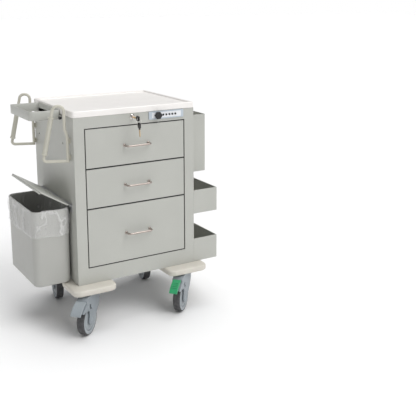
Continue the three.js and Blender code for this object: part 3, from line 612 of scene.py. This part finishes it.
def key(name, end, ahead, body, stands_for, metal, blade):
    """Key whose bow ends at a point and whose blade points ahead: a moulded head on a flat blade."""
    width, length, thick, shank = 22, 24, 5.5, 5
    blade_length = blade / MM
    ahead = Vector(ahead).normalized()
    across = Vector((0, 0, 1)) if abs(ahead.z) < 0.5 else Vector((0, 1, 0))
    side = ahead.cross(across).normalized()
    across = side.cross(ahead)
    axes = Matrix((ahead, across, side)).transposed().to_4x4()
    place = Matrix.Translation(end) @ axes @ Matrix.Scale(MM, 4)
    bow = plate((0, length), (-width / 2, width / 2), (-thick / 2, thick / 2), 7, 1.6)
    neck = plate((length - 3, length + shank), (-5, 5), (-2, 2), 1.5, 1)
    hole = prism(arc((KEY_HOLE, 0), 3, 0, 360, 24)[:-1], (-thick, thick))
    piece(name + "_head", moved(joined(bow), place), BLACK, body, stands_for,
          cutters=[moved(hole, place)])
    piece(name + "_neck", moved(neck, place), BLACK, body)
    root = length + shank
    tip = root + blade_length
    edge = [(root - 1, -4), (tip - 3, -4), (tip, -1), (tip, 1)]
    teeth = 5
    pitch = (blade_length - 6) / teeth
    for k in range(teeth):
        start = tip - 3 - k * pitch
        edge += [(start, 3.6 - (k * 7 % 3) * 0.7), (start - pitch * 0.6, 2.2 + (k % 2) * 0.9)]
    edge += [(root + 1, 4), (root - 1, 4)]
    piece(name + "_blade", moved(prism(edge, (-1, 1)), place), metal, body, bevel=0.0002)


def code_lock():
    """Push-button lock: a plate with a pale insert, a six-sided knob and five round buttons."""
    low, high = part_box("code_plate")
    face = low.y
    turned = FACING_Y
    holes = []
    for i in range(1, 6):
        button_low, button_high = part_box(f"code_button_{i}")
        middle = (button_low + button_high) / 2
        radius = (button_high.x - button_low.x) / 2
        matrix = axis_matrix(Vector((middle.x, button_high.y, middle.z)), (0, -1, 0))
        tall = button_high.y - button_low.y
        dome = [(0, 0), (radius, 0), (radius, tall - 0.0016)]
        dome += [(radius - 0.0016 + 0.0016 * cos(t), tall - 0.0016 + 0.0016 * sin(t))
                 for t in (radians(a) for a in (22, 45, 68, 90))]
        dome += [(0, tall - 0.0003)]
        piece(f"code_button_{i}_cap", revolve(dome, matrix, 32), BLACK, f"code_button_{i}",
              [f"code_button_{i}"])
        hole = arc((middle.x, middle.z), radius + 0.0004, 0, 360, 24)[:-1]
        holes.append(prism(hole, (face - 0.002, face + 0.0038), turned))
    knob_low, knob_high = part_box("code_knob")
    knob_middle = (knob_low + knob_high) / 2
    spindle = arc((knob_middle.x, knob_middle.z), 0.0054, 0, 360, 24)[:-1]
    holes.append(prism(spindle, (face - 0.002, face + 0.0038), turned))
    outline = plate((low.x, high.x), (low.z, high.z), (0, 1), 0.003, 0.0)
    flat = [Vector((p.x, low.y + (high.y - low.y) * p.z, p.y)) for p in outline[0]]
    piece("code_plate_frame", (flat, outline[1]), LOCK_GREY, "cart", ["code_plate"],
          0.0007, 2, holes)
    inset = 0.0045
    window = rounded((low.x + 0.0135, high.x - 0.0125), (low.z + inset, high.z - inset), 0.002, 5)
    piece("code_plate_insert", prism(window, (face - 0.0004, face + 0.0006), turned), LOCK_WHITE, "cart",
          cutters=holes)
    refined("code_knob", BLACK, 0.0012, 3)
    half_long, half_wide = 0.014, 0.003
    bar = rounded((knob_middle.x - half_long, knob_middle.x + half_long),
                  (knob_middle.z - half_wide, knob_middle.z + half_wide), 0.0029)
    ridge = prism(bar, (knob_low.y - 0.0012, knob_low.y + 0.001), turned)
    piece("code_knob_ridge", ridge, BLACK, "code_knob", bevel=0.0008, segments=3)


# ---------- Right side ----------
def side_bins():
    refined("middle_side_bin", PAINT, 0.0008)
    refined("lower_side_bin", PAINT, 0.0008)
    low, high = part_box("upper_side_box")
    sheet, margin = 0.002, 0.030
    shell = slab((low.x, high.x), (low.y, high.y), (low.z, high.z))
    hollow = slab((low.x + sheet, high.x - sheet), (low.y + sheet, high.y - sheet),
                  (low.z + sheet, high.z + 0.01))
    opening = rounded((low.y + margin, high.y - margin), (low.z + margin, high.z - margin), 0.025, 12)
    window = prism(opening, (high.x - 0.01, high.x + 0.01), FACING_X)
    piece("upper_side_box_folded", shell, PAINT, "cart", ["upper_side_box"], 0.0008,
          cutters=[hollow, window])
    at, clear = low.y + 0.169, 0.0022
    divider = slab((low.x + clear, high.x - clear), (at, at + sheet), (low.z + clear, high.z - 0.006))
    piece("upper_side_box_divider", divider, PAINT, "cart", bevel=0.0006)
    # Folded hem round each open bin's rim.
    for node in ("middle_side_bin", "lower_side_bin"):
        low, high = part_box(node)
        x, y = (low.x + 0.0012, high.x - 0.0012), (low.y + 0.0012, high.y - 0.0012)
        path = [Vector((px, py, high.z - 0.0008)) for px, py in rounded(x, y, 0.0015, 3)]
        piece(node + "_hem", sweep(path, 0.0017, 10, True), PAINT, "cart")


# ---------- Left side ----------
LEAN = radians(22)  # how far a handle's plane leans back


LUG_HEIGHTS = (724, 790)  # millimetres above the floor
WALL = CART.x - 0.2703  # just clear of the left wall's outer face


def push_handles():
    for place, y in (("front", 34), ("rear", 445)):
        def at(u, z):
            return cart(-270 - u * cos(LEAN), y + u * sin(LEAN), z)

        low_end, high_end = Vector((108, 709)), Vector((61.4, 928))
        corners = [at(12, 704), at(12, 808), at(21.5, 838), at(21.5, 928), at(*high_end), at(*low_end),
                   at(12, 709)]
        rod = sweep(bent(corners, [r * MM for r in (10, 10, 21.5, 21, 12)]), 0.006, 20)
        piece(f"push_handle_{place}_rod", rod, ROD_PAINT, "cart", [f"push_handle_{place}"])
        handle_lugs(place, at(12, 0))
        slope = (high_end - low_end) / (high_end.y - low_end.y)
        start, end = (at(*(low_end + slope * (z - low_end.y))) for z in (736, 884))
        sleeve(f"handle_grip_{place}", start, end)


def handle_lugs(place, foot):
    """Two flanged lugs that hold a handle's straight leg to the wall, with a screw in each flange."""
    lugs = []
    for z in LUG_HEIGHTS:
        outline = rounded((foot.x, WALL), ((z - 9) * MM, (z + 9) * MM), (0.006, 0.001, 0.001, 0.006), 6)
        lugs.append(prism(outline, (foot.y - 0.002, foot.y + 0.002), FACING_Y))
        flange = rounded((foot.y - 0.009, foot.y + 0.009), ((z - 10) * MM, (z + 10) * MM), 0.003, 5)
        lugs.append(prism(flange, (WALL - 0.0022, WALL), FACING_X))
    piece(f"push_handle_{place}_lugs", joined(*lugs), ROD_PAINT, "cart", bevel=0.0006)
    for k, z in enumerate(LUG_HEIGHTS):
        head = Vector((WALL - 0.0022, foot.y + 0.0055, (z + 5.5) * MM))
        screw(f"push_handle_{place}_screw_{k}", head, (-1, 0, 0), "cart", 0.0032)


def sleeve(node, start, end):
    """Ribbed grip: collars at both ends and rounded ribs between."""
    length, ribs, bore = (end - start).length, 22, 0.0062
    profile = [(bore, 0), (0.0110, 0), (0.0117, 0.0007), (0.0117, 0.0045), (0.0108, 0.0055)]
    first, last = 0.007, length - 0.007
    pitch = (last - first) / ribs
    for k in range(ribs):
        low = first + k * pitch
        rib = ((0.0091, 0), (0.0098, 0.2), (0.0102, 0.5), (0.0098, 0.8))
        profile += [(radius, low + pitch * share) for radius, share in rib]
    profile += [(0.0091, last), (0.0108, length - 0.0055), (0.0117, length - 0.0045),
                (0.0117, length - 0.0007), (0.0110, length), (bore, length)]
    shell = revolve(profile, axis_matrix(start, end - start), 32)
    piece(node + "_sleeve", shell, GRIP, "cart", [node], sharp=60)


RING_SHORTER = 0.009  # the shown ring stands this much nearer the wall than its CAD box


def sharps_ring():
    """Flat band bent to a ring, on a bar along the wall, with a clamp knob at each end of the bar."""
    low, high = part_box("sharps_ring")
    band, edge = 0.003, 0.0006
    wall_side = CART.x - 0.2726
    y = (low.y + 0.034, high.y - 0.034)
    radii = (0.025, 0.004, 0.004, 0.006)

    def outline(inset, z):
        shape = rounded((low.x + RING_SHORTER + inset, wall_side - inset), (y[0] + inset, y[1] - inset),
                        [max(r - inset, 0.0008) for r in radii], 10)
        return [Vector((px, py, z)) for px, py in shape]

    z0, z1 = low.z, high.z
    section = [(0, z0 + edge), (0, z1 - edge), (edge, z1), (band - edge, z1), (band, z1 - edge),
               (band, z0 + edge), (band - edge, z0), (edge, z0)]
    ring = loft([outline(inset, z) for inset, z in section], True)
    piece("sharps_ring_band", ring, PAINT, "cart", ["sharps_ring"], sharp=50)
    bar = slab((CART.x - 0.2756, CART.x - 0.2703), (low.y, high.y), (z0, z0 + 0.016))
    piece("sharps_ring_bar", bar, PAINT, "cart", bevel=0.0008)
    for end, at_y in (("front", low.y + 0.010), ("rear", high.y - 0.010)):
        knob = [(0, 0), (0.004, 0), (0.004, 0.003), (0.0062, 0.004), (0.0067, 0.006), (0.0067, 0.0095),
                (0.0055, 0.011), (0, 0.0114)]
        matrix = axis_matrix(Vector((CART.x - 0.2756, at_y, z0 + 0.008)), (-1, 0, 0))
        piece(f"sharps_ring_knob_{end}", revolve(knob, matrix, 40), BLACK, "cart")


# ---------- Waste bin ----------
bin_low, bin_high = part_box("waste_bin")
BIN_TAPER = 0.985


def bin_loop(grow, z, steps=10):
    """Outline of the bin at a height, grown all round; the bin narrows towards its floor."""
    x, y = (bin_low.x - grow, bin_high.x + grow), (bin_low.y - grow, bin_high.y + grow)
    share = (z - bin_low.z) / (bin_high.z - bin_low.z)
    scale = BIN_TAPER + (1 - BIN_TAPER) * share
    cx, cy = sum(x) / 2, sum(y) / 2
    outline = rounded(x, y, max(0.030 + grow, 0.004), steps)
    return [Vector((cx + (px - cx) * scale, cy + (py - cy) * scale, z)) for px, py in outline]


def waste_bin():
    wall, floor_edge, floor = 0.003, 0.009, 0.0052
    turns = [radians(90 * k / 6) for k in range(7)]
    rings = [(-floor_edge + floor_edge * sin(t), bin_low.z + floor_edge - floor_edge * cos(t)) for t in turns]
    rings += [(0, bin_low.z + 0.1), (0, bin_low.z + 0.2), (0, bin_high.z - 0.006)]
    rings += [(-wall / 2 + wall / 2 * cos(t), bin_high.z - wall / 2 + wall / 2 * sin(t)) for t in turns]
    rings += [(-wall / 2 - wall / 2 * sin(t), bin_high.z - wall / 2 + wall / 2 * cos(t)) for t in turns]
    rings += [(-wall, bin_low.z + 0.2), (-wall, bin_low.z + floor)]
    loops = [bin_loop(grow, z) for grow, z in rings]
    piece("waste_bin_shell", loft(loops), BIN_PAINT, "cart", ["waste_bin"])


LID_OPEN = radians(31)  # how far the lid stands open at rest
KNUCKLES = 5


def bin_lid():
    """Folded sheet lid with a rolled outer edge, on a pinned hinge."""
    hinge = Vector(joints["lid_hinge"]["pos_m"])
    low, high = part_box("bin_lid")
    y = (low.y, high.y)
    place = Matrix.Translation((hinge.x, 0, hinge.z)) @ Matrix.Rotation(LID_OPEN, 4, "Y")
    length, sheet, lip = 0.143, 0.002, 0.008
    panel = slab((-length, -0.0052), y, (-sheet / 2, sheet / 2))
    front = slab((-length, -length + sheet), y, (-lip, 0))
    ends = [slab((-length, -0.012), (at, at + sheet), (-0.004, 0)) for at in (y[0], y[1] - sheet)]
    piece("bin_lid_panel", moved(panel, place), PAINT, "bin_lid", ["bin_lid"], 0.0007)
    piece("bin_lid_hem", moved(joined(front, *ends), place), PAINT, "bin_lid", bevel=0.0005)
    roll = sweep([Vector((-length + 0.0012, at, -lip + 0.001)) for at in y], 0.0022, 14)
    piece("bin_lid_roll", moved(roll, place), PAINT, "bin_lid")
    lid_hinge(hinge, y, place)


def lid_hinge(hinge, y, place):
    """Knuckles that belong in turn to the lid and to the bracket, the bracket's strip and the pin."""
    knuckle = (y[1] - y[0]) / KNUCKLES
    radius, bore, gap = 0.004, 0.0023, 0.0003
    matrix = axis_matrix(Vector((hinge.x, 0, hinge.z)), (0, 1, 0))
    for k in range(KNUCKLES):
        span = (y[0] + k * knuckle + gap, y[0] + (k + 1) * knuckle - gap)
        barrel = revolve([(bore, span[0]), (radius, span[0]), (radius, span[1]), (bore, span[1])], matrix, 28)
        if k % 2:
            arm = moved(slab((-0.0075, -0.002), span, (-0.001, 0.001)), place)
            piece(f"bin_lid_knuckle_{k}", joined(barrel, arm), PAINT, "bin_lid")
        else:
            web = slab((hinge.x + 0.002, WALL - 0.0002), span, (hinge.z - 0.0035, hinge.z + 0.001))
            piece(f"lid_bracket_knuckle_{k}", joined(barrel, web), ZINC, "cart")
    strip = slab((WALL - 0.002, WALL), y, (hinge.z - 0.030, hinge.z + 0.004))
    pin_radius, pin_y = 0.0019, (y[0] + 0.0005, y[1] - 0.0005)
    pin = revolve([(0, pin_y[0]), (pin_radius, pin_y[0]), (pin_radius, pin_y[1]), (0, pin_y[1])], matrix, 20)
    piece("lid_bracket_strip", strip, ZINC, "cart", ["lid_bracket"], 0.0005)
    piece("lid_bracket_pin", pin, STEEL, "cart")


BAG_POINTS = 288  # round each loop of the bag
BAG_IN, BAG_OUT = -0.0046, 0.0016  # how far the bag's inner and outer loops stand outside the bin's face
INNER_ROWS, CUFF_ROWS = 15, 18
CUFF = 0.106  # how far the bag hangs down outside
RIM_WAVE = 0.005  # most that the bag stands up from the bin's rim, away from the lid's hem
WALL_SIDE = bin_high.x - 0.006  # past here the cabinet's wall holds the cuff flat against the bin
TUCK, GATHER = 0.58, 0.009  # where along the bin's front the cuff is tucked, and how far it bulges past there


def bag_stations():
    """How far each loop of the bag stands outside the bin, and its height, from floor to edge."""
    stations = [(BAG_IN - 0.02, bin_low.z + 0.010), (BAG_IN - 0.004, bin_low.z + 0.014)]
    stations += [(BAG_IN, bin_low.z + 0.03 + 0.27 * k / 12) for k in range(13)]
    top, over, middle = bin_high.z + 0.0012, (BAG_OUT - BAG_IN) / 2, (BAG_OUT + BAG_IN) / 2
    for k in range(7):
        turn = radians(180 * k / 6)
        stations.append((middle - over * cos(turn), top - over * 0.4 + over * 0.5 * sin(turn)))
    edge = 0.004
    stations += [(BAG_OUT, top - edge - (CUFF - edge) * k / CUFF_ROWS) for k in range(1, CUFF_ROWS + 1)]
    return stations


def bin_bag():
    """Thin bag that lines the bin, goes over its rim and hangs outside as a loose cuff."""
    n = BAG_POINTS
    loops = [evenly(bin_loop(grow, z, 12), n) for grow, z in bag_stations()]
    first_out = len(loops) - CUFF_ROWS
    points = []
    for k, loop in enumerate(loops):
        for i, p in enumerate(loop):
            turn = 2 * pi * i / n
            before, after = loop[i - 1], loop[(i + 1) % n]
            outward = Vector((after.y - before.y, before.x - after.x, 0)).normalized()
            if k >= first_out:
                points.append(cuff_point(p, outward, turn, (k - first_out + 1) / CUFF_ROWS))
            elif k < INNER_ROWS:
                slack = noise.noise(Vector((cos(turn) * 2.2, sin(turn) * 2.2, p.z * 9))) * 0.006 + 0.006
                points.append(p - outward * slack * min(1, 3 * (1 - k / INNER_ROWS)))
            else:
                loose = min(1.0, max(0.0, (p.x - bin_low.x - 0.02) / 0.02))
                points.append(p + Vector((0, 0, RIM_WAVE * loose * max(0.0, noise.noise(p * 22)))))
    faces = [(k * n + i, k * n + (i + 1) % n, (k + 1) * n + (i + 1) % n, (k + 1) * n + i)
             for k in range(len(loops) - 1) for i in range(n)]
    faces.append(tuple(reversed(range(n))))
    bag = piece("bin_bag", (points, faces), FILM, "cart", ["bin_liner"], sharp=180)


def cuff_point(p, outward, turn, down):
    """A point of the cuff, moved off the bin by the folds there."""
    on_front = p.y < bin_low.y + 0.006
    along = (p.x - bin_low.x) / (bin_high.x - bin_low.x) if on_front else None
    stand, rise = folds(turn, down, along)
    if p.x > WALL_SIDE:
        stand = min(stand, 0.0006)
    return p + outward * stand + Vector((0, 0, rise))


def folds(turn, down, along):
    """How far the cuff stands off the bin and how much its edge rises, at a turn round the bin.

    down is the share of the cuff's drop, and along the share of the bin's front, or None elsewhere.
    """
    around = Vector((cos(turn) * 3.0, sin(turn) * 3.0, down * 1.2))
    fine = Vector((cos(turn) * 9.0 + down * 1.5, sin(turn) * 9.0, down * 2.2 + 4))
    crease = noise.noise(Vector((cos(turn) * 7.0 + down * 2.5, sin(turn) * 7.0, down * 2.0 + 9)))
    puff = 0.0040 * sin(pi * min(1, down * 1.6)) + 0.0025 * down
    swell = noise.noise(around) * 0.0060 * (0.3 + down) + noise.noise(fine) * 0.0018 * (0.4 + down)
    crease_depth = -0.0026 * max(0, 1 - abs(crease) * 6) * min(1, down * 3)
    stand = max(0.0, 0.0014 + puff + swell + crease_depth)
    wave = (noise.noise(Vector((cos(turn) * 1.3, sin(turn) * 1.3, 7))) * 0.018
            + noise.noise(Vector((cos(turn) * 5, sin(turn) * 5, 17))) * 0.006)
    rise = wave * down * down
    if along is not None and along > TUCK:
        share = (along - TUCK) / (1 - TUCK)
        bulge = min(1, share * 9) * (0.55 + 0.45 * sin(pi * min(1, share * 1.1)))
        pleats = 0.0016 * sin(share * 26 + down * 5) * (1 - down)
        stand += GATHER * bulge * min(1, 0.35 + down * 1.5) + pleats
        rise += 0.020 * share * share * down
    return max(0.0, stand), rise


def evenly(loop, count):
    """The same closed loop, with points evenly along it."""
    lengths = [(b - a).length for a, b in zip(loop, loop[1:] + loop[:1])]
    whole, out, k, gone = sum(lengths), [], 0, 0.0
    for i in range(count):
        target = whole * i / count
        while gone + lengths[k] < target:
            gone += lengths[k]
            k += 1
        out.append(loop[k].lerp(loop[(k + 1) % len(loop)], (target - gone) / lengths[k]))
    return out


# ---------- Bumpers and casters ----------
def bumpers():
    for corner in CORNERS:
        low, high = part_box(f"bumper_{corner}")
        socket = joints[f"caster_swivel_{corner}"]["pos_m"]
        hole = prism(arc((socket[0], socket[1]), 0.0106, 0, 360, 32)[:-1], (low.z - 0.01, low.z + 0.019))
        shell = plate((low.x, high.x), (low.y, high.y), (low.z, high.z), 0.032, 0.008, 6)
        piece(f"bumper_{corner}_moulding", shell, CREAM, "cart", [f"bumper_{corner}"],
              cutters=[hole])


# Outlines of a caster seen from the side, in millimetres: x runs from the swivel's axis towards the pedal.
# The fork's goes down its back and round the hub, then up its arm, out below the pedal and over the top.
HUB = (47, 62.5)
BACK = [(-33, 130), (-20, 100), (26, 54)] + arc(HUB, 21.5, 213, 405, 20)
HOOD = [(62.5, 84), (61, 98), (66, 108), (78, 113), (96, 114.5), (117, 113), (123, 119.5), (108, 132.5),
        (90, 141.5), (88.5, 150), (87, 158), (64, 165.5), (38, 169.6), (-33, 169.6)]
FORK_SLOT = [(44, 112), (50, 107), (59, 116), (61, 129), (56, 136), (49, 130), (50, 121)]
WHEEL_SPACE = [(-22, 20), (130, 20), (130, 117.5), (117, 117.5), (102, 129), (84, 137), (60, 143), (-22, 146)]
PEDAL_SIDE = [(90.5, 149), (106, 142), (124, 131), (138, 119.5), (143, 113), (147, 114.5), (146, 122),
              (137, 133), (124, 143), (108, 151.5), (94, 157), (90.5, 156)]
PEDAL_HALF, GREEN_HALF = 21.0, 17.0  # half widths


def caster(corner):
    """One caster: fork with hood, stem and hub caps, wheel disc, tread and brake pedal."""
    swivel = joints[f"caster_swivel_{corner}"]["pos_m"]
    spin = joints[f"wheel_spin_{corner}"]
    ahead = Vector((spin["pos_m"][0] - swivel[0], spin["pos_m"][1] - swivel[1], 0)).normalized()
    axle = ahead.cross(Vector((0, 0, 1)))
    # Local x runs from the swivel towards the pedal, y is up and z is along the axle; millimetres.
    place = (Matrix.Translation((swivel[0], swivel[1], 0))
             @ Matrix((ahead, (0, 0, 1), axle)).transposed().to_4x4() @ Matrix.Scale(MM, 4))
    body = f"caster_{corner}"
    side = BACK + smoothed_run(HOOD)
    hollows = [moved(prism(WHEEL_SPACE, (-17.5, 17.5)), place), moved(prism(FORK_SLOT, (-30, 30)), place)]
    piece(f"caster_{corner}_fork", moved(prism(side, (-22.5, 22.5)), place), CASTER, body,
          [f"caster_fork_{corner}"], 0.0024, 3, hollows)
    upright = Matrix.Translation((swivel[0], swivel[1], 0)) @ Matrix.Scale(MM, 4)
    stem = revolve([(0, 160), (10, 160), (10, 187), (9, 188), (0, 188)], upright, 32)
    collar = revolve([(11, 169.9), (19, 169.9), (21, 168.5), (21, 166), (11, 166)], upright, 40)
    piece(f"caster_{corner}_stem", stem, STEEL, body)
    piece(f"caster_{corner}_collar", collar, CASTER, body)
    hub = place @ Matrix.Translation((*HUB, 0))
    caps = []
    for sign in (-1, 1):
        cap = [(0, 22), (9.5, 22), (9.5, 23), (8.8, 23.7), (4.6, 23.9), (4.2, 23.2), (0, 23.2)]
        caps.append(revolve([(r, h * sign) for r, h in cap], hub, 40))
    piece(f"caster_{corner}_hub_caps", joined(*caps), PEDAL, body)
    axle_pin = revolve([(0, -18), (5, -18), (5, 18), (0, 18)], hub, 24)
    piece(f"caster_{corner}_axle", axle_pin, STEEL, body)
    wheel(corner, hub)
    pedal(corner, place)


def smoothed_run(points, rounds=2):
    """An open run of points with its inner corners cut into curves."""
    for _ in range(rounds):
        cut = [points[0]]
        for a, b in zip(points, points[1:]):
            cut += [(a[0] * 0.75 + b[0] * 0.25, a[1] * 0.75 + b[1] * 0.25),
                    (a[0] * 0.25 + b[0] * 0.75, a[1] * 0.25 + b[1] * 0.75)]
        points = cut + [points[-1]]
    return points


def wheel(corner, hub):
    body, node = f"wheel_{corner}", f"caster_wheel_{corner}"
    half = [(5.6, 15.4), (10, 15.4), (11, 14.2), (22, 13.6), (38.6, 13.6), (40.2, 13.2), (41.4, 10.9),
            (44.2, 10.9), (45.6, 14.6), (52, 15.4), (57, 15.6), (58.4, 14.8)]
    disc = [(r, -h) for r, h in half] + [(r, h) for r, h in reversed(half)]
    piece(f"wheel_{corner}_disc", revolve(disc, hub, 72), DISC, body, [node], sharp=50)
    crown = [(57.6, 15.9), (59.2, 15.6), (60.6, 14.4), (61.6, 12.4), (62.2, 9.5), (62.45, 5), (62.45, 1.2),
             (61.9, 0.5)]
    tread = [(57.6, -15.9)] + [(r, -h) for r, h in crown[1:]] + [(r, h) for r, h in reversed(crown)]
    piece(f"wheel_{corner}_tread", revolve(tread, hub, 96), TREAD, body, [node], sharp=60)


def pedal(corner, place):
    body, node = f"pedal_{corner}", f"brake_pedal_{corner}"
    green = corner == "front_right"
    material, slot = (GREEN, "green_plastic") if green else (PEDAL, "caster_plastic")
    half = GREEN_HALF if green else PEDAL_HALF
    outline = smoothed_run(PEDAL_SIDE + PEDAL_SIDE[:1], 2)[:-1]
    shell = moved(prism(outline, (-half, half)), place)
    piece(f"{node}_moulding", shell, material, body, [node], 0.0032, 4)
    if not green:
        return
    ribs = []
    inner, tip = Vector((108, 152.4)), Vector((142, 134))
    slope = math.atan2(tip.y - inner.y, tip.x - inner.x)
    for k in range(4):
        at = inner.lerp(tip, (k + 0.6) / 4.4)
        turned = place @ Matrix.Translation((at.x, at.y, 0)) @ Matrix.Rotation(slope, 4, "Z")
        bar = rounded((-1.3, 1.3), (-1.5, 1.4), (0.3, 0.3, 1.0, 1.0), 4)
        ribs.append(moved(prism(bar, (-13.5, 13.5)), turned))
    piece(f"{node}_ribs", joined(*ribs), material, body, bevel=0.0004)


# ---------- Studio ----------
def studio():
    floor_mesh = bpy.data.meshes.new("floor")
    far = 40.0
    corners = [(-far, -far, 0), (far, -far, 0), (far, far, 0), (-far, far, 0)]
    floor_mesh.from_pydata(corners, [], [(0, 1, 2, 3)])
    floor = bpy.data.objects.new("floor", floor_mesh)
    bpy.context.scene.collection.objects.link(floor)
    pale = Paint("floor_paper", 0.85)
    pale.colour(pale.mottled((0.93, 0.93, 0.93), 0.6, 0.006)).bump(pale.noise(0.004), 0.0001, 0.3)
    floor_mesh.materials.append(pale.material)

    world = bpy.data.worlds.new("studio")
    bpy.context.scene.world = world
    world.use_nodes = True
    background = world.node_tree.nodes["Background"]
    background.inputs["Strength"].default_value = 1.0
    # White near the horizon, so that the floor runs on into it, and dimmer overhead.
    sky = world.node_tree.nodes
    direction = sky.new("ShaderNodeTexCoord")
    split = sky.new("ShaderNodeSeparateXYZ")
    shade = sky.new("ShaderNodeValToRGB")
    low, high = shade.color_ramp.elements
    low.position, low.color = HORIZON
    high.position, high.color = OVERHEAD
    wires = world.node_tree.links
    wires.new(direction.outputs["Generated"], split.inputs["Vector"])
    wires.new(split.outputs["Z"], shade.inputs["Fac"])
    wires.new(shade.outputs["Color"], background.inputs["Color"])

    for name, towards, strength, softness in SUNS:
        lamp = bpy.data.lights.new(name, "SUN")
        lamp.energy, lamp.angle = strength, radians(softness)
        light = bpy.data.objects.new(name, lamp)
        bpy.context.scene.collection.objects.link(light)
        light.rotation_euler = (-Vector(towards)).to_track_quat("-Z", "Y").to_euler()


# Brightness of the studio's walls against height, as (height of the direction, colour).
HORIZON, OVERHEAD = (0.03, (1.0, 1.0, 1.0, 1)), (0.12, (0.28, 0.28, 0.285, 1))
# Wide soft lights, like big boxes far away: name, direction it stands in, strength, softness in degrees.
SUNS = (
    ("key", (0.45, -1.15, 1.35), 1.55, 42),
    ("top", (0.12, 0.15, 1.0), 1.55, 50),
)

cabinet()
worktop()
drawers()
gap_shade_strips()
key_lock()
code_lock()
side_bins()
push_handles()
sharps_ring()
waste_bin()
bin_lid()
bin_bag()
bumpers()
for each in CORNERS:
    caster(each)
studio()
bpy.context.scene.view_settings.view_transform = "Standard"
